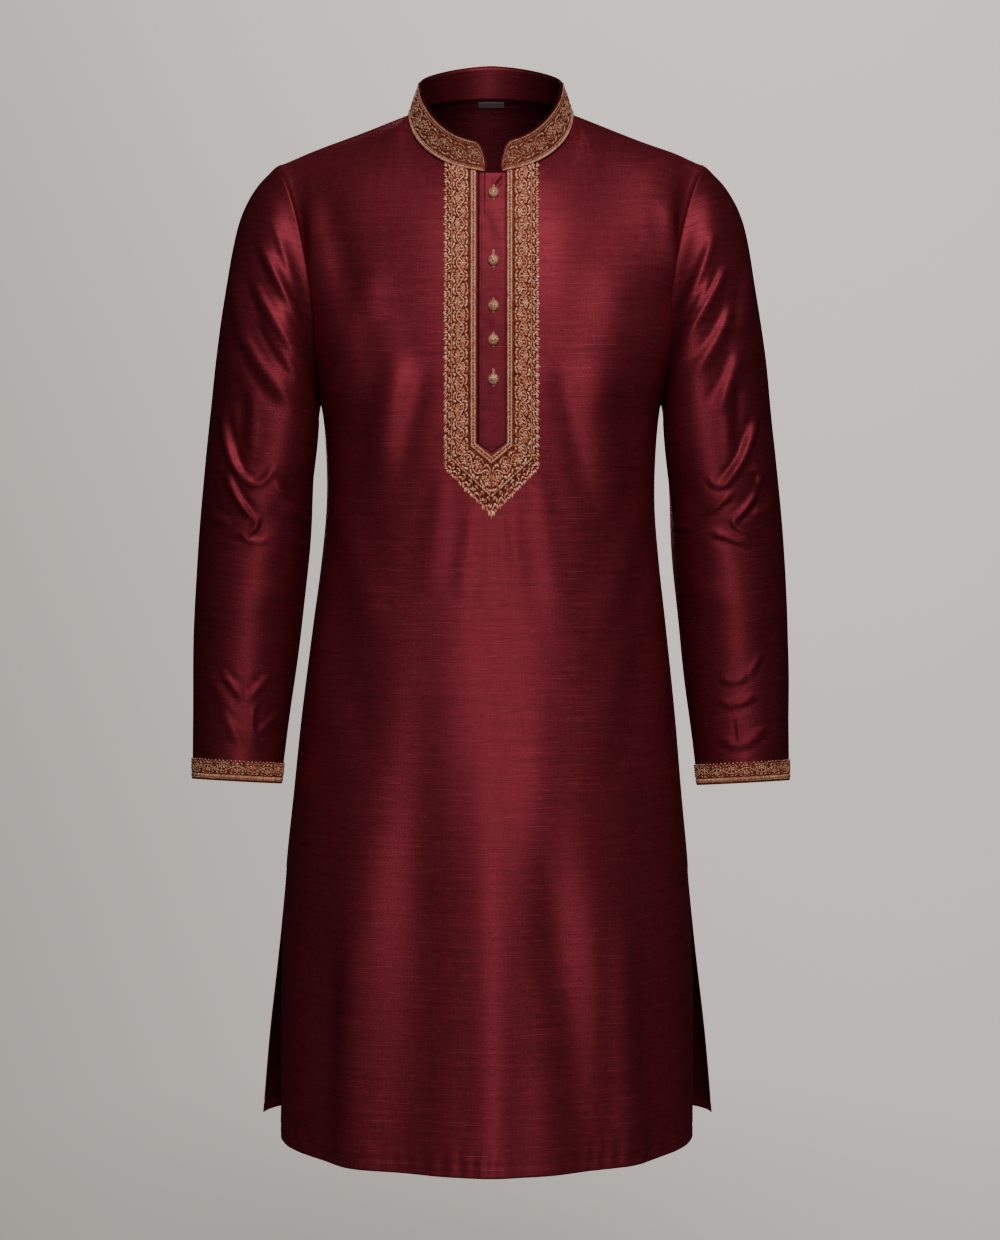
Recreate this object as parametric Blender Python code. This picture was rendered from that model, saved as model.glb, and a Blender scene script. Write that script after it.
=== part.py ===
# A kurta tunic, filled out as if worn: body panels, sleeves, stand collar, placket,
# embroidered bands and buttons. Metres, +Z up, the front faces -Y.
# The origin is the middle of the neck's base, where the shoulders carry the garment.
import math
from collections import namedtuple

import bmesh
import bpy
import numpy as np
from mathutils import Matrix, Vector

# Driving sizes
WALL = 0.0015               # thickness of a cloth wall
TRIM_WALL = 0.0009          # thickness of an embroidered band
SEAM_GAP = 0.0003           # gap between two pieces at a seam
UNDERARM_GAP = 0.0014       # how much wider the armhole seam's gap is under the arm
LAY = 0.0007                # how far a band's underside stands off the panel it lies on
NECK_LAY = 0.0012           # how much more near the neck, where the cloth turns in
SEAM_Y = 0.004              # the shoulder seam's place from front to back

NECK_SIDE = 0.083           # half width of the neck seam
NECK_LEVEL = 0.006          # level of the neck seam at the side
NECK_FRONT = -0.091         # front of the neck seam, in Y
NECK_BACK = 0.070           # back of the neck seam, in Y
NECK_FRONT_RISE = 0.68      # the seam's drop for each metre forward
NECK_BACK_RISE = 0.38       # the seam's rise for each metre backward
SHOULDER_SIDE = 0.2188      # half width at the shoulder point
SHOULDER_LEVEL = -0.047
UNDERARM_SIDE = 0.172
CHEST_LEVEL = -0.284        # level of the underarm
HEM_LEVEL = -1.030
SLIT_LEVEL = -0.760         # top of the two side slits
HEM_SHIFT = -0.004          # the skirt hangs a little to the wearer's right

NECK_SHARE = 0.46           # share of a panel's half width that the neck takes
NECK_STEPS = 6              # columns in a quarter of the neck
SHOULDER_STEPS = 7          # columns along one shoulder
UPPER_ROWS = 10
LOWER_ROWS = 18

EVEN_REACH = 0.16           # how widely a panel's columns are evened beside the neck
EVEN_WEIGHTS = ((-1.0, 0.1), (-0.5, 0.2), (0.0, 0.4), (0.5, 0.2), (1.0, 0.1))

SLEEVE_SIDES = 20
SLEEVE_ROWS = 20

# Body sections, from the underarm to the hem
# round: 1 is an ellipse, less is squarer
Section = namedtuple("Section", "level front_side back_side front back front_edge back_edge round")
SECTIONS = (
    Section(-0.284, 0.1720, 0.1720, 0.126, 0.114, 0.000, 0.000, 0.87),
    Section(-0.310, 0.1688, 0.1688, 0.126, 0.110, 0.000, 0.000, 0.87),
    Section(-0.337, 0.1668, 0.1668, 0.125, 0.106, 0.000, 0.000, 0.87),
    Section(-0.388, 0.1660, 0.1660, 0.122, 0.100, 0.000, 0.000, 0.87),
    Section(-0.445, 0.1706, 0.1706, 0.120, 0.100, 0.000, 0.000, 0.88),
    Section(-0.510, 0.1785, 0.1785, 0.121, 0.104, 0.000, 0.000, 0.89),
    Section(-0.609, 0.1900, 0.1900, 0.127, 0.114, 0.000, 0.000, 0.91),
    Section(-0.683, 0.1970, 0.1970, 0.133, 0.120, 0.000, 0.000, 0.93),
    Section(-0.760, 0.2045, 0.2045, 0.139, 0.124, 0.000, 0.000, 0.95),
    Section(-0.846, 0.2085, 0.2150, 0.146, 0.128, -0.010, 0.026, 0.98),
    Section(-0.948, 0.2090, 0.2280, 0.154, 0.132, -0.016, 0.047, 1.01),
    Section(-1.030, 0.2090, 0.2360, 0.162, 0.134, -0.018, 0.060, 1.03),
)

# How a panel's columns leave its top edge (x, y, z) and reach the chest line (cx, cy, cz)
Leave = namedtuple("Leave", "column x y z cx cy cz")
FRONT_LEAVES = (
    Leave(0.00, 0.000, -0.026, -0.070, 0.000, -0.004, 0.080),
    Leave(0.25, 0.014, -0.046, -0.052, 0.000, -0.002, 0.082),
    Leave(0.46, 0.022, -0.066, -0.028, 0.000, 0.000, 0.085),
    Leave(0.65, 0.010, -0.070, -0.032, 0.001, -0.008, 0.078),
    Leave(0.85, -0.010, -0.064, -0.034, -0.003, -0.034, 0.055),
    Leave(1.00, -0.028, -0.052, -0.018, -0.010, -0.066, 0.022),
)
BACK_LEAVES = (
    Leave(0.00, 0.000, 0.030, -0.060, 0.000, 0.012, 0.090),
    Leave(0.25, 0.018, 0.044, -0.038, 0.000, 0.010, 0.090),
    Leave(0.46, 0.026, 0.062, -0.024, 0.000, 0.008, 0.090),
    Leave(0.65, 0.011, 0.068, -0.030, 0.001, 0.014, 0.080),
    Leave(0.85, -0.008, 0.062, -0.036, -0.003, 0.036, 0.056),
    Leave(1.00, -0.022, 0.050, -0.020, -0.010, 0.062, 0.022),
)

# The sleeve's outer and inner lines, from the armhole to the cuff, and its sections
Line = namedtuple("Line", "side level")
SLEEVE_OUTER = (
    Line(0.2188, -0.0470), Line(0.2383, -0.0678), Line(0.2530, -0.0945),
    Line(0.2620, -0.1265), Line(0.2703, -0.1780), Line(0.2790, -0.2390),
    Line(0.2845, -0.2950), Line(0.2915, -0.3630), Line(0.2970, -0.4350),
    Line(0.3005, -0.5150), Line(0.3010, -0.6090), Line(0.3005, -0.6720),
)
SLEEVE_INNER = (
    Line(0.1720, -0.2840), Line(0.1766, -0.3050), Line(0.1810, -0.3630),
    Line(0.1840, -0.4350), Line(0.1910, -0.5150), Line(0.2010, -0.6090),
    Line(0.2085, -0.6770),
)
# tip: how far a section's front stands above its middle
Sleeve = namedtuple("Sleeve", "share depth centre tip")
SLEEVE_SECTIONS = (
    Sleeve(0.00, 0.052, 0.004, 0.0000),
    Sleeve(0.15, 0.063, 0.003, 0.0000),
    Sleeve(0.30, 0.066, 0.002, 0.0000),
    Sleeve(0.50, 0.060, -0.003, 0.0005),
    Sleeve(0.70, 0.051, -0.011, 0.0020),
    Sleeve(0.85, 0.044, -0.019, 0.0035),
    Sleeve(1.00, 0.038, -0.028, 0.0050),
)
ARMHOLE_FADE = 0.28         # share of the sleeve over which the armhole's shape dies out

# Folds. A body fold runs from (x0, z0) to (x1, z1); a sleeve fold's x is degrees round
# the arm, 0 at the outside, 90 at the front and 270 at the back.
Fold = namedtuple("Fold", "x0 z0 x1 z1 width height start end")
FRONT_FOLDS = (
    Fold(0.004, -0.450, 0.014, -1.060, 0.034, 0.0100, 0.45, 0.0),
    Fold(-0.088, -0.700, -0.106, -1.060, 0.030, 0.0105, 0.50, 0.0),
    Fold(0.072, -0.800, 0.102, -1.060, 0.028, 0.0100, 0.50, 0.0),
    Fold(-0.046, -0.640, -0.046, -1.060, 0.026, -0.0085, 0.50, 0.0),
    Fold(0.044, -0.740, 0.057, -1.060, 0.022, -0.0095, 0.50, 0.0),
    Fold(0.160, -0.820, 0.160, -1.060, 0.030, -0.0060, 0.50, 0.0),
    Fold(-0.160, -0.760, -0.164, -1.060, 0.032, -0.0050, 0.50, 0.0),
    Fold(-0.106, -0.150, -0.140, -0.260, 0.015, 0.0050, 0.30, 0.4),
    Fold(0.112, -0.140, 0.142, -0.260, 0.016, 0.0050, 0.30, 0.4),
    Fold(-0.080, -0.225, -0.116, -0.400, 0.020, 0.0050, 0.35, 0.4),
    Fold(0.095, -0.215, 0.120, -0.430, 0.021, 0.0050, 0.35, 0.4),
)
BACK_FOLDS = (
    Fold(0.000, -0.500, -0.008, -1.060, 0.036, 0.0090, 0.45, 0.0),
    Fold(0.092, -0.680, 0.112, -1.060, 0.030, 0.0100, 0.50, 0.0),
    Fold(-0.080, -0.740, -0.100, -1.060, 0.030, 0.0095, 0.50, 0.0),
    Fold(0.048, -0.640, 0.050, -1.060, 0.026, -0.0080, 0.50, 0.0),
    Fold(-0.046, -0.700, -0.058, -1.060, 0.024, -0.0085, 0.50, 0.0),
    Fold(0.090, -0.200, 0.130, -0.300, 0.018, 0.0050, 0.35, 0.4),
    Fold(-0.096, -0.190, -0.132, -0.300, 0.018, 0.0050, 0.35, 0.4),
)
SLEEVE_FOLDS = (
    Fold(80, -0.115, 140, -0.225, 0.014, 0.0050, 0.30, 0.3),
    Fold(60, -0.165, 125, -0.285, 0.016, 0.0055, 0.30, 0.3),
    Fold(290, -0.130, 220, -0.240, 0.016, 0.0050, 0.30, 0.3),
    Fold(30, -0.330, 130, -0.415, 0.016, 0.0060, 0.25, 0.3),
    Fold(150, -0.350, 60, -0.465, 0.015, -0.0055, 0.25, 0.3),
    Fold(150, -0.470, 40, -0.500, 0.016, 0.0050, 0.25, 0.3),
    Fold(330, -0.380, 220, -0.420, 0.018, 0.0050, 0.25, 0.3),
)

# The band round the front opening: outer and inner outline, top to point
TRIM_MIDDLE = 0.001
Trim = namedtuple("Trim", "outer outer_level inner inner_level")
TRIM_OUTLINE = (
    Trim(0.0470, -0.0560, 0.0142, -0.0660),
    Trim(0.0470, -0.3550, 0.0142, -0.3290),
    Trim(0.0000, -0.4035, 0.0000, -0.3410),
)
TRIM_LEG_STEPS = 11
TRIM_POINT_STEPS = 4
TRIM_ACROSS = 3

PLACKET_LEFT = -0.0075      # the free edge of the button strip
PLACKET_RIGHT = 0.0138
PLACKET_TOP = -0.0655
PLACKET_LOW = -0.3290
PLACKET_STEPS = 11

BUTTON_LEVELS = (-0.0860, -0.1530, -0.1970, -0.2300, -0.2680)
BUTTON_X = 0.0030
BUTTON_RADIUS = 0.0055
BUTTON_HEIGHT = 0.0034
BUTTON_LAY = 0.0007         # how far a button stands off the strip

COLLAR_WALL = 0.0022
COLLAR_LEAN = 0.012         # how far the collar's top leans in
COLLAR_END = 6.0            # degrees from the front middle to a collar end
COLLAR_ROWS = 3
Height = namedtuple("Height", "angle height")
COLLAR_HEIGHTS = (
    Height(0, 0.023), Height(25, 0.029), Height(60, 0.033),
    Height(90, 0.0315), Height(120, 0.0305), Height(180, 0.033),
)
COLLAR_CORNER = 0.72        # height of a rounded front end, as a share of the full height

CUFF_BAND = 0.021           # height of the band at each cuff
LABEL_WIDTH = 0.026
LABEL_HEIGHT = 0.012

# Colours
MAROON = (0.115, 0.011, 0.014, 1.0)
COPPER = (0.480, 0.220, 0.120, 1.0)
GREY = (0.350, 0.330, 0.320, 1.0)
ROUGHNESS = 0.5


def ease(low, high, value):
    """A soft step from 0 at low to 1 at high."""
    share = np.clip((value - low) / (high - low), 0.0, 1.0)
    return share * share * (3.0 - 2.0 * share)


def through(table, at, key, value):
    """A smooth curve through one column of a table."""
    keys = np.array([getattr(row, key) for row in table])
    values = np.array([getattr(row, value) for row in table])
    if keys[0] > keys[-1]:
        keys = keys[::-1]
        values = values[::-1]
    slopes = np.gradient(values, keys)
    at = np.clip(at, keys[0], keys[-1])
    low = np.clip(np.searchsorted(keys, at) - 1, 0, len(keys) - 2)
    width = keys[low + 1] - keys[low]
    t = (at - keys[low]) / width
    stay = (1 + 2 * t) * (1 - t) ** 2 * values[low] + t * t * (3 - 2 * t) * values[low + 1]
    turn = t * (1 - t) ** 2 * slopes[low] - t * t * (1 - t) * slopes[low + 1]
    return stay + width * turn


def neck_point(angle):
    """The neck seam at an angle in degrees, 0 at the front and 180 at the back."""
    turn = np.radians(angle)
    forward = np.cos(turn)
    reach = np.where(forward > 0, NECK_FRONT - SEAM_Y, NECK_BACK - SEAM_Y)
    rise = np.where(forward > 0, NECK_FRONT_RISE, NECK_BACK_RISE)
    step = reach * np.abs(forward)
    return np.stack([NECK_SIDE * np.sin(turn), SEAM_Y + step, NECK_LEVEL + rise * step], -1)


def neck_chord(angle):
    """The same seam as the panels' straight edges follow it."""
    step = 90.0 / NECK_STEPS
    low = np.floor(np.asarray(angle) / step) * step
    share = ((np.asarray(angle) - low) / step)[..., None]
    return neck_point(low) * (1 - share) + neck_point(low + step) * share


def top_edge(column, back):
    """The neck curve and the shoulder seam of a panel."""
    size = np.abs(column)
    angle = 90.0 * np.minimum(size / NECK_SHARE, 1.0)
    neck = neck_point(180.0 - angle if back else angle)
    share = np.clip((size - NECK_SHARE) / (1.0 - NECK_SHARE), 0.0, 1.0)
    seam_x = NECK_SIDE + (SHOULDER_SIDE - NECK_SIDE) * share
    seam_z = NECK_LEVEL + (SHOULDER_LEVEL - NECK_LEVEL) * share
    seam = np.stack([seam_x, SEAM_Y + 0.0 * share, seam_z], -1)
    edge = np.where((size < NECK_SHARE)[..., None], neck, seam)
    edge[..., 0] *= np.where(column < 0, -1.0, 1.0)
    return edge


def section_point(column, level, back):
    """A point of the body below the underarm."""
    turn = np.radians(90.0 * np.abs(column))
    side = through(SECTIONS, level, "level", "back_side" if back else "front_side")
    reach = through(SECTIONS, level, "level", "back" if back else "front")
    edge = through(SECTIONS, level, "level", "back_edge" if back else "front_edge")
    edge = np.where(level > SLIT_LEVEL, 0.0, edge)
    power = through(SECTIONS, level, "level", "round")
    reach = reach if back else -reach
    x = np.sign(column) * side * np.sin(turn) ** power
    y = edge + (reach - edge) * np.cos(turn) ** power
    shift = HEM_SHIFT * ease(-0.30, -0.80, level)
    return np.stack([x + shift, y, level + 0.0 * x], -1)


def fold_height(folds, x, z, scale=1.0):
    """How far the folds lift the cloth at (x, z)."""
    lift = np.zeros(np.broadcast(x, z).shape)
    for fold in folds:
        run_x = (fold.x1 - fold.x0) * scale
        run_z = fold.z1 - fold.z0
        length = math.hypot(run_x, run_z)
        off_x = (x - fold.x0) * scale
        off_z = z - fold.z0
        along = (off_x * run_x + off_z * run_z) / length ** 2
        across = (off_x * run_z - off_z * run_x) / length
        body = ease(0.0, fold.start, along) if fold.start else 1.0
        tail = 1.0 - ease(1.0 - fold.end, 1.0, along) if fold.end else 1.0
        lift = lift + fold.height * np.exp(-(across / fold.width) ** 2) * body * tail
    return lift


def outward(points):
    """Unit normals of an open ring of points, rows by columns, pointing off its middle."""
    normal = np.cross(np.gradient(points, axis=1), np.gradient(points, axis=0))
    normal *= np.sign(np.sum(normal * (points - points.mean(axis=(0, 1))), axis=-1))[..., None]
    return normal / np.linalg.norm(normal, axis=-1, keepdims=True)


def panel_base(column, place, back):
    """A panel without folds, evened out beside the neck where the top edge turns."""
    calm = ease(0.0, 0.35, place) * (1.0 - ease(0.85, 1.0, place)) * ease(1.0, 0.8, np.abs(column))
    reach = EVEN_REACH * calm
    total = 0.0
    for share, weight in EVEN_WEIGHTS:
        total = total + weight * panel_curve(column + share * reach, place, back)
    return total


def panel_curve(column, place, back):
    """A panel's columns: place 0 to 1 is top edge to chest, 1 to 2 chest to hem."""
    leaves = BACK_LEAVES if back else FRONT_LEAVES
    size = np.abs(column)
    mirror = np.where(column < 0, -1.0, 1.0)
    top = top_edge(column, back)
    chest = section_point(column, np.full(np.shape(column), CHEST_LEVEL), back)
    first = np.stack([
        through(leaves, size, "column", "x") * mirror,
        through(leaves, size, "column", "y"),
        through(leaves, size, "column", "z"),
    ], -1)
    last = np.stack([
        through(leaves, size, "column", "cx") * mirror,
        through(leaves, size, "column", "cy"),
        through(leaves, size, "column", "cz"),
    ], -1)
    t = np.clip(place, 0.0, 1.0)[..., None]
    upper = (top * (1 - t) ** 3 + (top + first) * 3 * t * (1 - t) ** 2
             + (chest + last) * 3 * t * t * (1 - t) + chest * t ** 3)
    level = CHEST_LEVEL + (HEM_LEVEL - CHEST_LEVEL) * np.clip(place - 1.0, 0.0, 1.0)
    lower = section_point(column, level, back)
    return np.where((place < 1.0)[..., None], upper, lower)


def panel_surface(column, place, back):
    """The panel's outer face with its folds, and the face's normals."""
    base = panel_base(column, place, back)
    step = 0.004
    right = np.minimum(column + step, 1.0)
    left = np.maximum(column - step, -1.0)
    along = panel_base(right, place, back) - panel_base(left, place, back)
    down = panel_base(column, place + step, back) - panel_base(column, place - step, back)
    normal = np.cross(along, down)
    normal = normal / np.linalg.norm(normal, axis=-1, keepdims=True)
    normal = normal if back else -normal
    folds = BACK_FOLDS if back else FRONT_FOLDS
    lift = fold_height(folds, base[..., 0], base[..., 2])
    below = ease(-0.70, -0.95, base[..., 2])
    calm = ease(1.0, 0.86, np.abs(column)) * (1 - 0.5 * below)
    return base + normal * (lift * calm)[..., None], normal


def panel_columns():
    """Column places: even steps round the neck, then along the shoulder."""
    neck = np.linspace(0.0, NECK_SHARE, NECK_STEPS + 1)
    shoulder = np.linspace(NECK_SHARE, 1.0, SHOULDER_STEPS + 1)[1:]
    half = np.concatenate([neck, shoulder])
    return np.concatenate([-half[:0:-1], half])


def grid_wall(name, outer, inner, colour, metallic=0.0):
    """A closed sheet between two grids of points."""
    rows, columns = outer.shape[:2]
    shape = bmesh.new()
    bmesh.ops.create_grid(shape, x_segments=columns - 1, y_segments=rows - 1, size=0.5)
    finish_wall(name, shape, outer, inner, colour, metallic,
                lambda co: (round((0.5 - co.y) * (rows - 1)), round((co.x + 0.5) * (columns - 1))))


def tube_wall(name, outer, inner, colour, metallic=0.0):
    """A closed sheet between two tubes of points, rows by places round the tube."""
    rows, columns = outer.shape[:2]
    shape = bmesh.new()
    bmesh.ops.create_cone(shape, cap_ends=False, segments=columns,
                          radius1=1.0, radius2=1.0, depth=1.0)
    upright = [edge for edge in shape.edges if abs(edge.verts[0].co.z - edge.verts[1].co.z) > 0.5]
    bmesh.ops.subdivide_edges(shape, edges=upright, cuts=rows - 2, use_grid_fill=True)

    def place(co):
        turn = math.atan2(co.x, co.y) / (2.0 * math.pi)
        return round((0.5 - co.z) * (rows - 1)), round(turn * columns) % columns

    finish_wall(name, shape, outer, inner, colour, metallic, place)


def finish_wall(name, shape, outer, inner, colour, metallic, place):
    """Doubles a sheet, moves both faces to their points and makes the object."""
    places = {vert: place(vert.co) for vert in shape.verts}
    face = list(shape.verts)
    copied = bmesh.ops.extrude_face_region(shape, geom=shape.faces[:], use_keep_orig=True)
    for item in copied["geom"]:
        if isinstance(item, bmesh.types.BMVert):
            places[item] = place(item.co)
            item.co = inner[places[item]]
    for vert in face:
        vert.co = outer[places[vert]]
    bmesh.ops.recalc_face_normals(shape, faces=shape.faces[:])
    if shape.calc_volume(signed=True) < 0:
        bmesh.ops.reverse_faces(shape, faces=shape.faces[:])
    make_object(name, shape, colour, metallic)


def make_object(name, shape, colour, metallic=0.0):
    """Turns a bmesh into a named object with its own material."""
    mesh = bpy.data.meshes.new(name)
    shape.to_mesh(mesh)
    shape.free()
    mesh.shade_smooth()
    item = bpy.data.objects.new(name, mesh)
    bpy.context.collection.objects.link(item)
    material = bpy.data.materials.new(name)
    material.use_nodes = True
    surface = material.node_tree.nodes["Principled BSDF"]
    surface.inputs["Base Color"].default_value = colour
    surface.inputs["Roughness"].default_value = ROUGHNESS
    surface.inputs["Metallic"].default_value = metallic
    mesh.materials.append(material)
    return item


def keep_clear(offset, rule):
    """Stops a wall's inner edge from leaning over a seam."""
    for where, axis, sign in rule:
        part = offset[where]
        part[..., axis] = np.where(part[..., axis] * sign < 0, 0.0, part[..., axis])
        part /= np.linalg.norm(part, axis=-1, keepdims=True)
        offset[where] = part
    return offset


def panel_parts(back):
    """The grid of one panel: outer points and the offsets to its inner face."""
    columns = panel_columns()
    places = np.concatenate([
        np.linspace(0.0, 1.0, UPPER_ROWS + 1),
        1.0 + np.linspace(0.0, 1.0, LOWER_ROWS + 1)[1:],
    ])
    column, place = np.meshgrid(columns, places)
    outer, normal = panel_surface(column, place, back)
    sign = 1.0 if back else -1.0
    seam_columns = np.abs(columns) >= NECK_SHARE
    armhole_rows = slice(0, UPPER_ROWS + 1)
    side_rows = slice(UPPER_ROWS, None)
    offset = keep_clear(-normal, (
        ((0, seam_columns), 1, sign),
        ((armhole_rows, 0), 0, 1.0),
        ((armhole_rows, -1), 0, -1.0),
        ((side_rows, 0), 1, sign),
        ((side_rows, -1), 1, sign),
    ))
    joined = (column[..., None] ** 2 > 0.999) & (outer[..., 2:] > SLIT_LEVEL)
    top_row = np.zeros_like(joined)
    top_row[0, seam_columns] = True
    outer = outer + np.where(joined | top_row, np.array([0.0, sign * SEAM_GAP / 2, 0.0]), 0.0)
    return outer, offset


def panels():
    for back, name in ((False, "front_panel"), (True, "back_panel")):
        outer, offset = panel_parts(back)
        grid_wall(name, outer, outer + offset * WALL, MAROON)


def along_line(line, share):
    """Points of a sleeve's outer or inner line at shares of its length."""
    dense = np.linspace(0.0, 1.0, 200)
    table = [namedtuple("Place", "t side level")(i / (len(line) - 1), row.side, row.level)
             for i, row in enumerate(line)]
    side = through(table, dense, "t", "side")
    level = through(table, dense, "t", "level")
    walked = np.concatenate([[0.0], np.cumsum(np.hypot(np.diff(side), np.diff(level)))])
    walked = walked / walked[-1]
    return np.interp(share, walked, side), np.interp(share, walked, level)


def armhole(turn):
    """The armhole seam: 0 at the shoulder, 180 at the underarm, 360 at the shoulder."""
    ahead = turn <= 180.0
    place = np.where(ahead, turn, 360.0 - turn) / 180.0
    edge = np.ones_like(place)
    front = panel_base(edge, np.minimum(place, 0.999999), False)
    rear = panel_base(edge, np.minimum(place, 0.999999), True)
    return np.where(ahead[..., None], front, rear)


def sleeve_base(turn, share):
    """The right-hand sleeve without folds."""
    outer_x, outer_z = along_line(SLEEVE_OUTER, share)
    inner_x, inner_z = along_line(SLEEVE_INNER, share)
    depth = through(SLEEVE_SECTIONS, share, "share", "depth")
    centre = through(SLEEVE_SECTIONS, share, "share", "centre")
    tip = through(SLEEVE_SECTIONS, share, "share", "tip")
    angle = np.radians(turn)
    lean = (1.0 + np.cos(angle)) / 2.0
    rounded = np.stack([
        inner_x + (outer_x - inner_x) * lean,
        centre - depth * np.sin(angle),
        inner_z + (outer_z - inner_z) * lean + tip * np.sin(angle),
    ], -1)
    zero = np.zeros_like(share)
    first_depth = through(SLEEVE_SECTIONS, zero, "share", "depth")
    first = np.stack([
        UNDERARM_SIDE + (SHOULDER_SIDE - UNDERARM_SIDE) * lean,
        SEAM_Y - first_depth * np.sin(angle),
        CHEST_LEVEL + (SHOULDER_LEVEL - CHEST_LEVEL) * lean,
    ], -1)
    left_over = (armhole(turn) - first) * (1.0 - ease(0.0, ARMHOLE_FADE, share))[..., None]
    return rounded + left_over


def sleeve_surface(turn, share):
    """The right-hand sleeve's outer face with its folds, and the face's normals."""
    base = sleeve_base(turn, share)
    step = 0.004
    side = 1.5
    around = sleeve_base((turn + side) % 360.0, share) - sleeve_base((turn - side) % 360.0, share)
    down = sleeve_base(turn, share + step) - sleeve_base(turn, share - step)
    normal = np.cross(around, down)
    normal = normal / np.linalg.norm(normal, axis=-1, keepdims=True)
    radius = np.pi / 180.0 * 0.056
    lift = fold_height(SLEEVE_FOLDS, turn, base[..., 2], radius)
    calm = ease(0.0, 0.10, share)
    return base + normal * (lift * calm)[..., None], normal


def sleeves():
    turns = np.arange(SLEEVE_SIDES) * 360.0 / SLEEVE_SIDES
    shares = np.linspace(0.0, 1.0, SLEEVE_ROWS + 1)
    turn, share = np.meshgrid(turns, shares)
    outer, normal = sleeve_surface(turn, share)
    offset = keep_clear(-normal, (((0, slice(None)), 0, 1.0),))
    outer[0, :, 0] += SEAM_GAP * 1.5 + UNDERARM_GAP * (1.0 - np.cos(np.radians(turns))) / 2.0
    inner = outer + offset * WALL
    for name, mirror in (("sleeve_right", 1.0), ("sleeve_left", -1.0)):
        side = np.array([mirror, 1.0, 1.0])
        tube_wall(name, outer * side, inner * side, MAROON)
    cuff_bands(turns)


def cuff_bands(turns):
    """The embroidered band round each cuff."""
    length = along_line(SLEEVE_OUTER, np.array([1.0]))[1] - SLEEVE_OUTER[0].level
    tall = CUFF_BAND / abs(float(length[0]))
    shares = np.array([1.0 - tall, 1.0 - tall / 2, 0.9995])
    turn, share = np.meshgrid(turns, shares)
    surface, normal = sleeve_surface(turn, share)
    under = surface + normal * LAY
    outer = under + normal * TRIM_WALL
    for name, mirror in (("cuff_trim_right", 1.0), ("cuff_trim_left", -1.0)):
        side = np.array([mirror, 1.0, 1.0])
        tube_wall(name, outer * side, under * side, COPPER, 0.4)


def on_front(x, z):
    """The front panel's face and normal at places given by x and level."""
    column = np.clip(x / 0.18, -0.9, 0.9)
    place = np.where(z < CHEST_LEVEL, 1.5, 0.5) + 0.0 * x
    step = 0.001
    for _ in range(14):
        here = panel_surface(column, place, False)[0]
        beside = panel_surface(column + step, place, False)[0]
        below = panel_surface(column, place + step, False)[0]
        xx = (beside[..., 0] - here[..., 0]) / step
        xz = (below[..., 0] - here[..., 0]) / step
        zx = (beside[..., 2] - here[..., 2]) / step
        zz = (below[..., 2] - here[..., 2]) / step
        off_x = x - here[..., 0]
        off_z = z - here[..., 2]
        scale = xx * zz - xz * zx
        column = column + np.clip((off_x * zz - off_z * xz) / scale, -0.2, 0.2)
        place = place + np.clip((off_z * xx - off_x * zx) / scale, -0.2, 0.2)
        place = np.clip(place, 0.0, 1.999)
    return panel_surface(column, place, False)


def laid_on_front(name, x, z, lift, thick, colour, metallic):
    """A strip that lies on the front panel."""
    surface, normal = on_front(x, z)
    above = lift + NECK_LAY * ease(-0.12, -0.07, z)[..., None]
    under = surface + normal * above
    grid_wall(name, under + normal * thick, under, colour, metallic)


def front_trim():
    """The U-shaped embroidered band, as one grid from one side's top to the other's."""
    legs = np.linspace(0.0, 1.0, TRIM_LEG_STEPS + 1)
    point = 1.0 + np.linspace(0.0, 1.0, TRIM_POINT_STEPS + 1)[1:]
    half = np.concatenate([legs, point])
    stations = np.concatenate([half, 4.0 - half[-2::-1]])
    place = np.minimum(stations, 4.0 - stations)
    mirror = np.where(stations > 2.0, 1.0, -1.0)
    keys = np.arange(len(TRIM_OUTLINE))
    values = {name: np.interp(place, keys, [getattr(row, name) for row in TRIM_OUTLINE])
              for name in Trim._fields}
    across = np.linspace(0.0, 1.0, TRIM_ACROSS + 1)[:, None]
    x = (values["outer"] * (1 - across) + values["inner"] * across) * mirror + TRIM_MIDDLE
    z = values["outer_level"] * (1 - across) + values["inner_level"] * across
    laid_on_front("front_trim", x, z, LAY, TRIM_WALL, COPPER, 0.4)


def placket():
    """The strip that carries the buttons, between the band's two inner edges."""
    z = np.linspace(PLACKET_TOP, PLACKET_LOW, PLACKET_STEPS + 1)[:, None]
    x = np.linspace(PLACKET_LEFT, PLACKET_RIGHT, 3)[None, :]
    x, z = np.broadcast_arrays(x, z)
    laid_on_front("placket_strip", x, z, LAY, TRIM_WALL, MAROON, 0.0)


def buttons():
    """Five small domed buttons down the strip."""
    for number, level in enumerate(BUTTON_LEVELS, 1):
        at, normal = on_front(np.array([BUTTON_X]), np.array([level]))
        shape = bmesh.new()
        bmesh.ops.create_uvsphere(shape, u_segments=14, v_segments=8, radius=BUTTON_RADIUS)
        low = [vert for vert in shape.verts if vert.co.z < -0.001]
        bmesh.ops.delete(shape, geom=low, context="VERTS")
        rim = [edge for edge in shape.edges if edge.is_boundary]
        bmesh.ops.contextual_create(shape, geom=rim)
        for vert in shape.verts:
            vert.co.z = max(vert.co.z, 0.0) * BUTTON_HEIGHT / BUTTON_RADIUS
        lift = LAY + TRIM_WALL + BUTTON_LAY + NECK_LAY * float(ease(-0.12, -0.07, level))
        tilt = math.atan2(normal[0][2], -normal[0][1])
        turn = Matrix.Rotation(math.pi / 2 - tilt, 3, "X")
        bmesh.ops.rotate(shape, verts=shape.verts[:], cent=(0, 0, 0), matrix=turn)
        bmesh.ops.translate(shape, verts=shape.verts[:], vec=Vector(at[0] + normal[0] * lift))
        bmesh.ops.recalc_face_normals(shape, faces=shape.faces[:])
        make_object(f"button_{number}", shape, COPPER, 0.6)


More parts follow.
